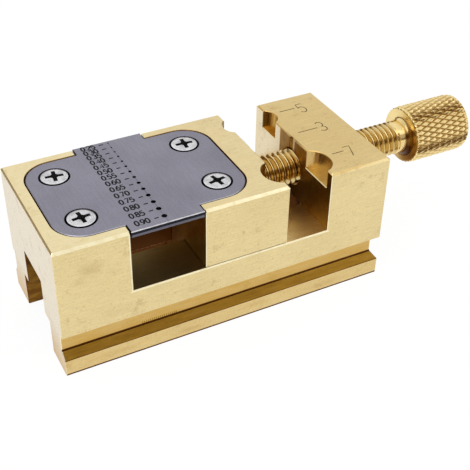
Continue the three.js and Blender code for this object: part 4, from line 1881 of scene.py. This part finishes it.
@dataclass
class StudioCamera:
    """Camera at the photograph's angle."""

    place: Triple = (-0.06545, -0.11305, 0.1039)
    azimuth: float = -28.29
    elevation: float = 37.08
    roll: float = 1.22
    lens: float = 71.17
    sensor: float = 36.0
    nearest: float = 0.001

    def build(self) -> bpy.types.Object:
        """Places the camera and makes it the scene's.

        Returns:
            The camera.
        """
        angles = (self.azimuth, self.elevation, self.roll)
        azimuth, elevation, roll = (math.radians(angle) for angle in angles)
        away = math.cos(elevation)
        back = Vector((math.sin(azimuth) * away, -math.cos(azimuth) * away, math.sin(elevation)))
        level = Axis.HEIGHT.at(1.0).cross(back).normalized()
        upright = back.cross(level)
        right = level * math.cos(roll) + upright * math.sin(roll)
        up = upright * math.cos(roll) - level * math.sin(roll)
        turn = Matrix((right, up, back)).transposed().to_4x4()
        data = bpy.data.cameras.new("photo_camera")
        data.lens = self.lens
        data.sensor_width = self.sensor
        data.clip_start = self.nearest
        camera = new_object("photo_camera", data)
        camera.matrix_world = Matrix.Translation(self.place) @ turn
        bpy.context.scene.camera = camera
        return camera


# Marks of the milled pieces, as spans in millimetres along, across and up

ALL_WIDTH = (-13.0, 13.0)
BLOCK_WIDTH = (-12.6, 12.6)
INNER_WIDTH = (-12.4, 12.4)
FRONT = (-12.6, -12.4)
FRONT_TOP_STRIP = (-12.6, -12.0)
GROOVE_WALL = (-11.45, -11.35)
GROOVE_ROUND_END = (-11.5, 11.5)
SLOT_WIDTH = (-6.4, 6.4)
POCKET_WIDTH = (-10.8, 10.8)
TOP_FACE = (23.65, 23.75)
TOP_STRIP = (23.2, 23.69)
LEFT_END = (-0.05, 0.05)
GAP_WALL = (45.95, 46.05)
ALL_LENGTH = (-1.0, 57.2)
RIGHT_END = (57.05, 57.2)
# Left end: painted light makes it pale, and painted shade darkens it the lower it lies
END_PALE_LIGHT = 0.85
END_PALE_LIGHT_LOSS = 0.012
END_SHADE_GAIN = 0.05
END_CLEAN_FROM = 9.0
END_STEPS = [float(step) for step in range(1, 9)]
CHATTER_WIDTH = 0.17
CHATTER_HEIGHT = (4.7, 5.1)
CHATTER_MARKS = [13.2 + 0.34 * mark for mark in range(18)]
BODY_SPLITS = (
    # Left end, window floor and slot
    *(Split(Zone(LEFT_END, ALL_WIDTH, (0.0, 23.7)), Axis.HEIGHT, top) for top in END_STEPS),
    Split(Zone((11.7, 50.3), ALL_WIDTH, (12.7, 12.9)), Axis.LENGTH, 31.0),
    Split(Zone((-1.0, 58.0), (-6.5, 6.5), (0.0, 12.9)), Axis.LENGTH, 8.0),
    # Side groove, flange and upper fronts
    Split(Zone((-1.0, 57.0), (-11.5, 11.5), (4.5, 7.7)), Axis.HEIGHT, 4.7),
    Split(Zone((0.1, 57.2), BLOCK_WIDTH, (3.0, 4.49)), Axis.HEIGHT, 4.34),
    Split(Zone((0.1, 57.2), BLOCK_WIDTH, (3.0, 4.33)), Axis.HEIGHT, 3.1),
    Split(Zone((0.1, 57.2), BLOCK_WIDTH, (0.0, 3.0)), Axis.HEIGHT, 0.38),
    Split(Zone((-1.0, 58.0), BLOCK_WIDTH, (7.7, 23.8)), Axis.HEIGHT, 12.5),
    Split(Zone((-1.0, 12.0), BLOCK_WIDTH, (12.5, 23.8)), Axis.LENGTH, 11.5),
    # Cutter chatter on the groove's wall
    Split(Zone((-1.0, 57.0), GROOVE_WALL, (4.7, 7.6)), Axis.HEIGHT, 5.1),
    *(Split(Zone((-1.0, 57.0), GROOVE_WALL, CHATTER_HEIGHT), Axis.LENGTH, start + step)
      for start in CHATTER_MARKS for step in (0.0, CHATTER_WIDTH)),
    Split(Zone(GAP_WALL, ALL_WIDTH, (12.8, 23.7)), Axis.WIDTH, 4.0),
)
BODY_ZONES = (
    # Left end, pale with painted light, with painted shade the darker the lower it lies
    *(Zone(
        LEFT_END, ALL_WIDTH, (top - 1.0, top), soil_and_shade=END_SHADE_GAIN * (END_CLEAN_FROM - top),
        pale_light=END_PALE_LIGHT - END_PALE_LIGHT_LOSS * (END_CLEAN_FROM - top),
    ) for top in END_STEPS),
    Zone(LEFT_END, ALL_WIDTH, (8.0, 23.7), pale_light=END_PALE_LIGHT),
    # Side groove with its chatter; groove and flange with painted shade, a painted contact shadow along the
    # flange's foot, and the window's edges worn bright as painted highlight lines
    *(Zone((start, start + CHATTER_WIDTH), GROOVE_WALL, CHATTER_HEIGHT, soil_and_shade=0.85)
      for start in CHATTER_MARKS),
    *on_both_sides(
        Zone((-1.0, 56.05), (-11.6, -11.35), (4.34, 4.7), soil_and_shade=1.3),
        Zone(ALL_LENGTH, (-12.6, -12.35), (3.0, 3.1), soil_and_shade=1.1),
        Zone(ALL_LENGTH, FRONT, (-0.1, 0.38), soil_and_shade=1.4),
        Zone(ALL_LENGTH, FRONT, (0.38, 3.0), soil_and_shade=0.2),
        Zone((-1.0, 56.05), GROOVE_WALL, (4.7, 7.6), soil_and_shade=0.42),
        Zone(ALL_LENGTH, (-12.6, -11.3), (7.6, 7.7), soil_and_shade=0.6),
        Zone((-1.0, 57.05), (-12.45, -11.4), (3.05, 4.45), soil_and_shade=0.64),
        Zone((11.5, 11.9), (-12.6, -12.45), (12.5, 23.3), wear_and_highlight=1.0),
        Zone((11.7, 46.1), (-12.6, -12.45), (12.5, 12.79), wear_and_highlight=1.0),
    ),
    # Groove and flange round the right end, with painted shade and a painted contact shadow at the foot
    Zone((55.95, 56.2), GROOVE_ROUND_END, (4.34, 4.7), soil_and_shade=1.3),
    Zone((55.95, 56.05), GROOVE_ROUND_END, (4.7, 7.6), soil_and_shade=0.42),
    Zone((55.95, 57.2), BLOCK_WIDTH, (7.6, 7.7), soil_and_shade=0.6),
    Zone((56.05, 57.05), (-12.45, 12.45), (3.05, 4.45), soil_and_shade=0.64),
    Zone(RIGHT_END, BLOCK_WIDTH, (-0.1, 0.38), soil_and_shade=1.4),
    Zone(RIGHT_END, BLOCK_WIDTH, (0.38, 3.0), soil_and_shade=0.2),
    # Slot, rails and the walls of the window and the gap, with painted shade, and painted light on the gap
    # wall's rear part
    Zone((0.05, 8.0), SLOT_WIDTH, (0.05, 12.75), soil_and_shade=0.86),
    Zone((8.0, 57.05), SLOT_WIDTH, (0.05, 12.75), soil_and_shade=1.4),
    Zone((11.7, 31.0), BLOCK_WIDTH, (12.79, 12.85), soil_and_shade=0.3),
    Zone((31.0, 45.95), BLOCK_WIDTH, (12.79, 12.85), soil_and_shade=0.09),
    Zone((11.75, 11.85), INNER_WIDTH, (12.9, 22.55), soil_and_shade=1.0),
    Zone(GAP_WALL, (-12.4, 4.0), (12.9, 23.65), soil_and_shade=0.7),
    Zone(GAP_WALL, (4.0, 12.4), (12.9, 23.65), pale_light=0.5),
    # Threaded bore, seats, plate pocket and tops, with painted shade in the hollows and painted light on the
    # left top and the top chamfers
    Zone((46.05, 57.05), (-3.2, 3.2), (14.5, 21.5), soil_and_shade=0.6),
    Zone((46.02, 51.0), (-12.4, 4.0), (20.3, 23.65), soil_and_shade=0.2),
    Zone((46.02, 51.0), (4.0, 12.4), (20.3, 23.65), soil_and_shade=0.45),
    Zone((1.9, 11.85), POCKET_WIDTH, (15.0, 23.65), soil_and_shade=1.0),
    Zone((-1.0, 12.0), ALL_WIDTH, TOP_FACE, wear_and_highlight=0.4),
    Zone((45.0, 58.0), ALL_WIDTH, TOP_FACE, soil_and_shade=0.14),
    *on_both_sides(Zone((0.3, 12.0), FRONT_TOP_STRIP, TOP_STRIP, wear_and_highlight=0.85)),
)
# Corners along the foot, the slot, the pocket and the right top get dirt and painted shade; listed ones are
# worn bright with painted highlight
BODY_CORNERS = (
    Zone((-1.0, 58.0), ALL_WIDTH, (-0.1, 0.1), soil_and_shade=1.6),
    Zone((-0.1, 0.1), (-6.5, 6.5), (0.1, 13.0), soil_and_shade=1.3),
    Zone((-0.1, 0.4), (-12.0, 12.0), (23.3, 23.8), soil_and_shade=1.0, wear_and_highlight=0.1),
    *on_both_sides(
        Zone((-0.1, 0.3), FRONT, (0.1, 23.5), wear_and_highlight=0.3),
        Zone((0.3, 57.0), FRONT, (7.5, 7.8), wear_and_highlight=0.3),
        Zone((0.3, 57.0), FRONT, (12.7, 12.9), wear_and_highlight=0.8),
    ),
    Zone((1.9, 11.85), POCKET_WIDTH, (23.6, 23.8), soil_and_shade=1.0),
    Zone((45.9, 51.0), (-12.3, 12.3), (20.2, 23.6), wear_and_highlight=0.25),
    Zone((45.5, 57.6), ALL_WIDTH, (23.1, 23.8), soil_and_shade=0.4, wear_and_highlight=0.1),
)
# Jaw: painted shade on its walls, seats and pocket; painted light on its top and top chamfers
JAW_ZONES = (
    Zone((23.85, 23.95), INNER_WIDTH, (12.9, 22.55), soil_and_shade=0.56),
    Zone((38.35, 38.45), INNER_WIDTH, (12.9, 23.65), soil_and_shade=0.76),
    Zone((33.7, 38.38), INNER_WIDTH, (20.3, 23.65), soil_and_shade=0.5),
    Zone((23.8, 33.7), POCKET_WIDTH, (15.0, 23.65), soil_and_shade=1.0),
    Zone((23.0, 39.0), ALL_WIDTH, TOP_FACE, soil_and_shade=0.04, wear_and_highlight=0.2),
    *on_both_sides(Zone((23.0, 39.0), FRONT_TOP_STRIP, TOP_STRIP, wear_and_highlight=0.85)),
)
# Jaw corners: a painted shade line along its foot on the rail and round the pocket; seat corners worn bright
# with painted highlight
JAW_CORNERS = (
    Zone((23.8, 38.5), BLOCK_WIDTH, (12.7, 13.0), soil_and_shade=1.2),
    Zone((23.8, 33.75), POCKET_WIDTH, (23.6, 23.8), soil_and_shade=1.0),
    Zone((33.7, 38.5), (-12.3, 12.3), (20.2, 23.6), wear_and_highlight=0.25),
)
PLATE_SEAM = 17.85
# Plate sides are split at mid-height: the lower half gets less painted shade, a painted reflection of the
# floor
PLATE_SPLITS = (Split(Zone((11.9, 23.8), BLOCK_WIDTH, (22.6, 23.6)), Axis.HEIGHT, 23.1),)
PLATE_ZONES = on_both_sides(Zone((11.9, 23.8), FRONT, (22.6, 23.1), soil_and_shade=0.5))
# Plate corners: top ones worn bright with painted highlight, those at the seam a painted shade line
SCALE_PLATE_CORNERS = (
    Zone((0.0, 11.9), (-11.0, 11.0), (22.0, 24.0), wear_and_highlight=0.4),
    Zone((11.9, 12.05), ALL_WIDTH, (22.0, 24.0), soil_and_shade=1.5),
)
CLAMP_PLATE_CORNERS = (
    Zone((23.8, 36.0), (-11.0, 11.0), (22.0, 24.0), wear_and_highlight=0.4),
    Zone((23.65, 23.8), ALL_WIDTH, (22.0, 24.0), soil_and_shade=1.5),
)
PLATE_SCREWS = (
    PlateScrew("scale_plate_screw_front", Body.BASE, 6.75, -6.05, 5.0),
    PlateScrew("scale_plate_screw_rear", Body.BASE, 6.75, 6.05, -8.0),
    PlateScrew("clamp_plate_screw_front", Body.JAW, 28.95, -6.05, 11.0),
    PlateScrew("clamp_plate_screw_rear", Body.JAW, 28.95, 6.05, -4.0),
)


def main() -> None:
    """Builds the studio and every piece of the vise, in order."""
    logging.basicConfig(level=logging.INFO, format="%(message)s")
    bpy.context.scene.view_settings.view_transform = "Standard"
    StudioCamera().build()
    Studio().build()
    makers: list[tuple[str, Maker]] = [
        ("body", EngravedBody(
            "vise_body", Body.BASE, Slot.MILLED_BRASS, FINISHES.body,
            splits=BODY_SPLITS, zones=BODY_ZONES, corners=BODY_CORNERS,
        )),
        ("jaw", MilledPiece(
            "moving_jaw", Body.JAW, Slot.MILLED_BRASS, FINISHES.milled, zones=JAW_ZONES, corners=JAW_CORNERS,
        )),
        ("scale plate", SteelPlate(
            "scale_plate", Body.BASE, Slot.PLATE_STEEL, FINISHES.plate, sharp_plane=PLATE_SEAM,
            splits=PLATE_SPLITS, zones=PLATE_ZONES, corners=SCALE_PLATE_CORNERS,
        )),
        ("clamp plate", SteelPlate(
            "clamp_plate", Body.JAW, Slot.PLATE_STEEL, FINISHES.plate, sharp_plane=PLATE_SEAM,
            splits=PLATE_SPLITS, zones=PLATE_ZONES, corners=CLAMP_PLATE_CORNERS,
        )),
        ("scale", GaugeScale()),
        *((screw.node, screw) for screw in PLATE_SCREWS),
        ("thumb screw", ThumbScrew()),
        ("hidden fittings", HiddenFittings()),
    ]
    for title, maker in makers:
        started = time.perf_counter()
        pieces = maker.build()
        faces = sum(len(piece.data.polygons) for piece in pieces)
        edges = sum(open_edges(piece.data) for piece in pieces)
        spent = time.perf_counter() - started
        LOG.info("%s: %d piece(s), %d faces, %d open edges, %.1f s", title, len(pieces), faces, edges, spent)


if __name__ == "__main__":
    main()
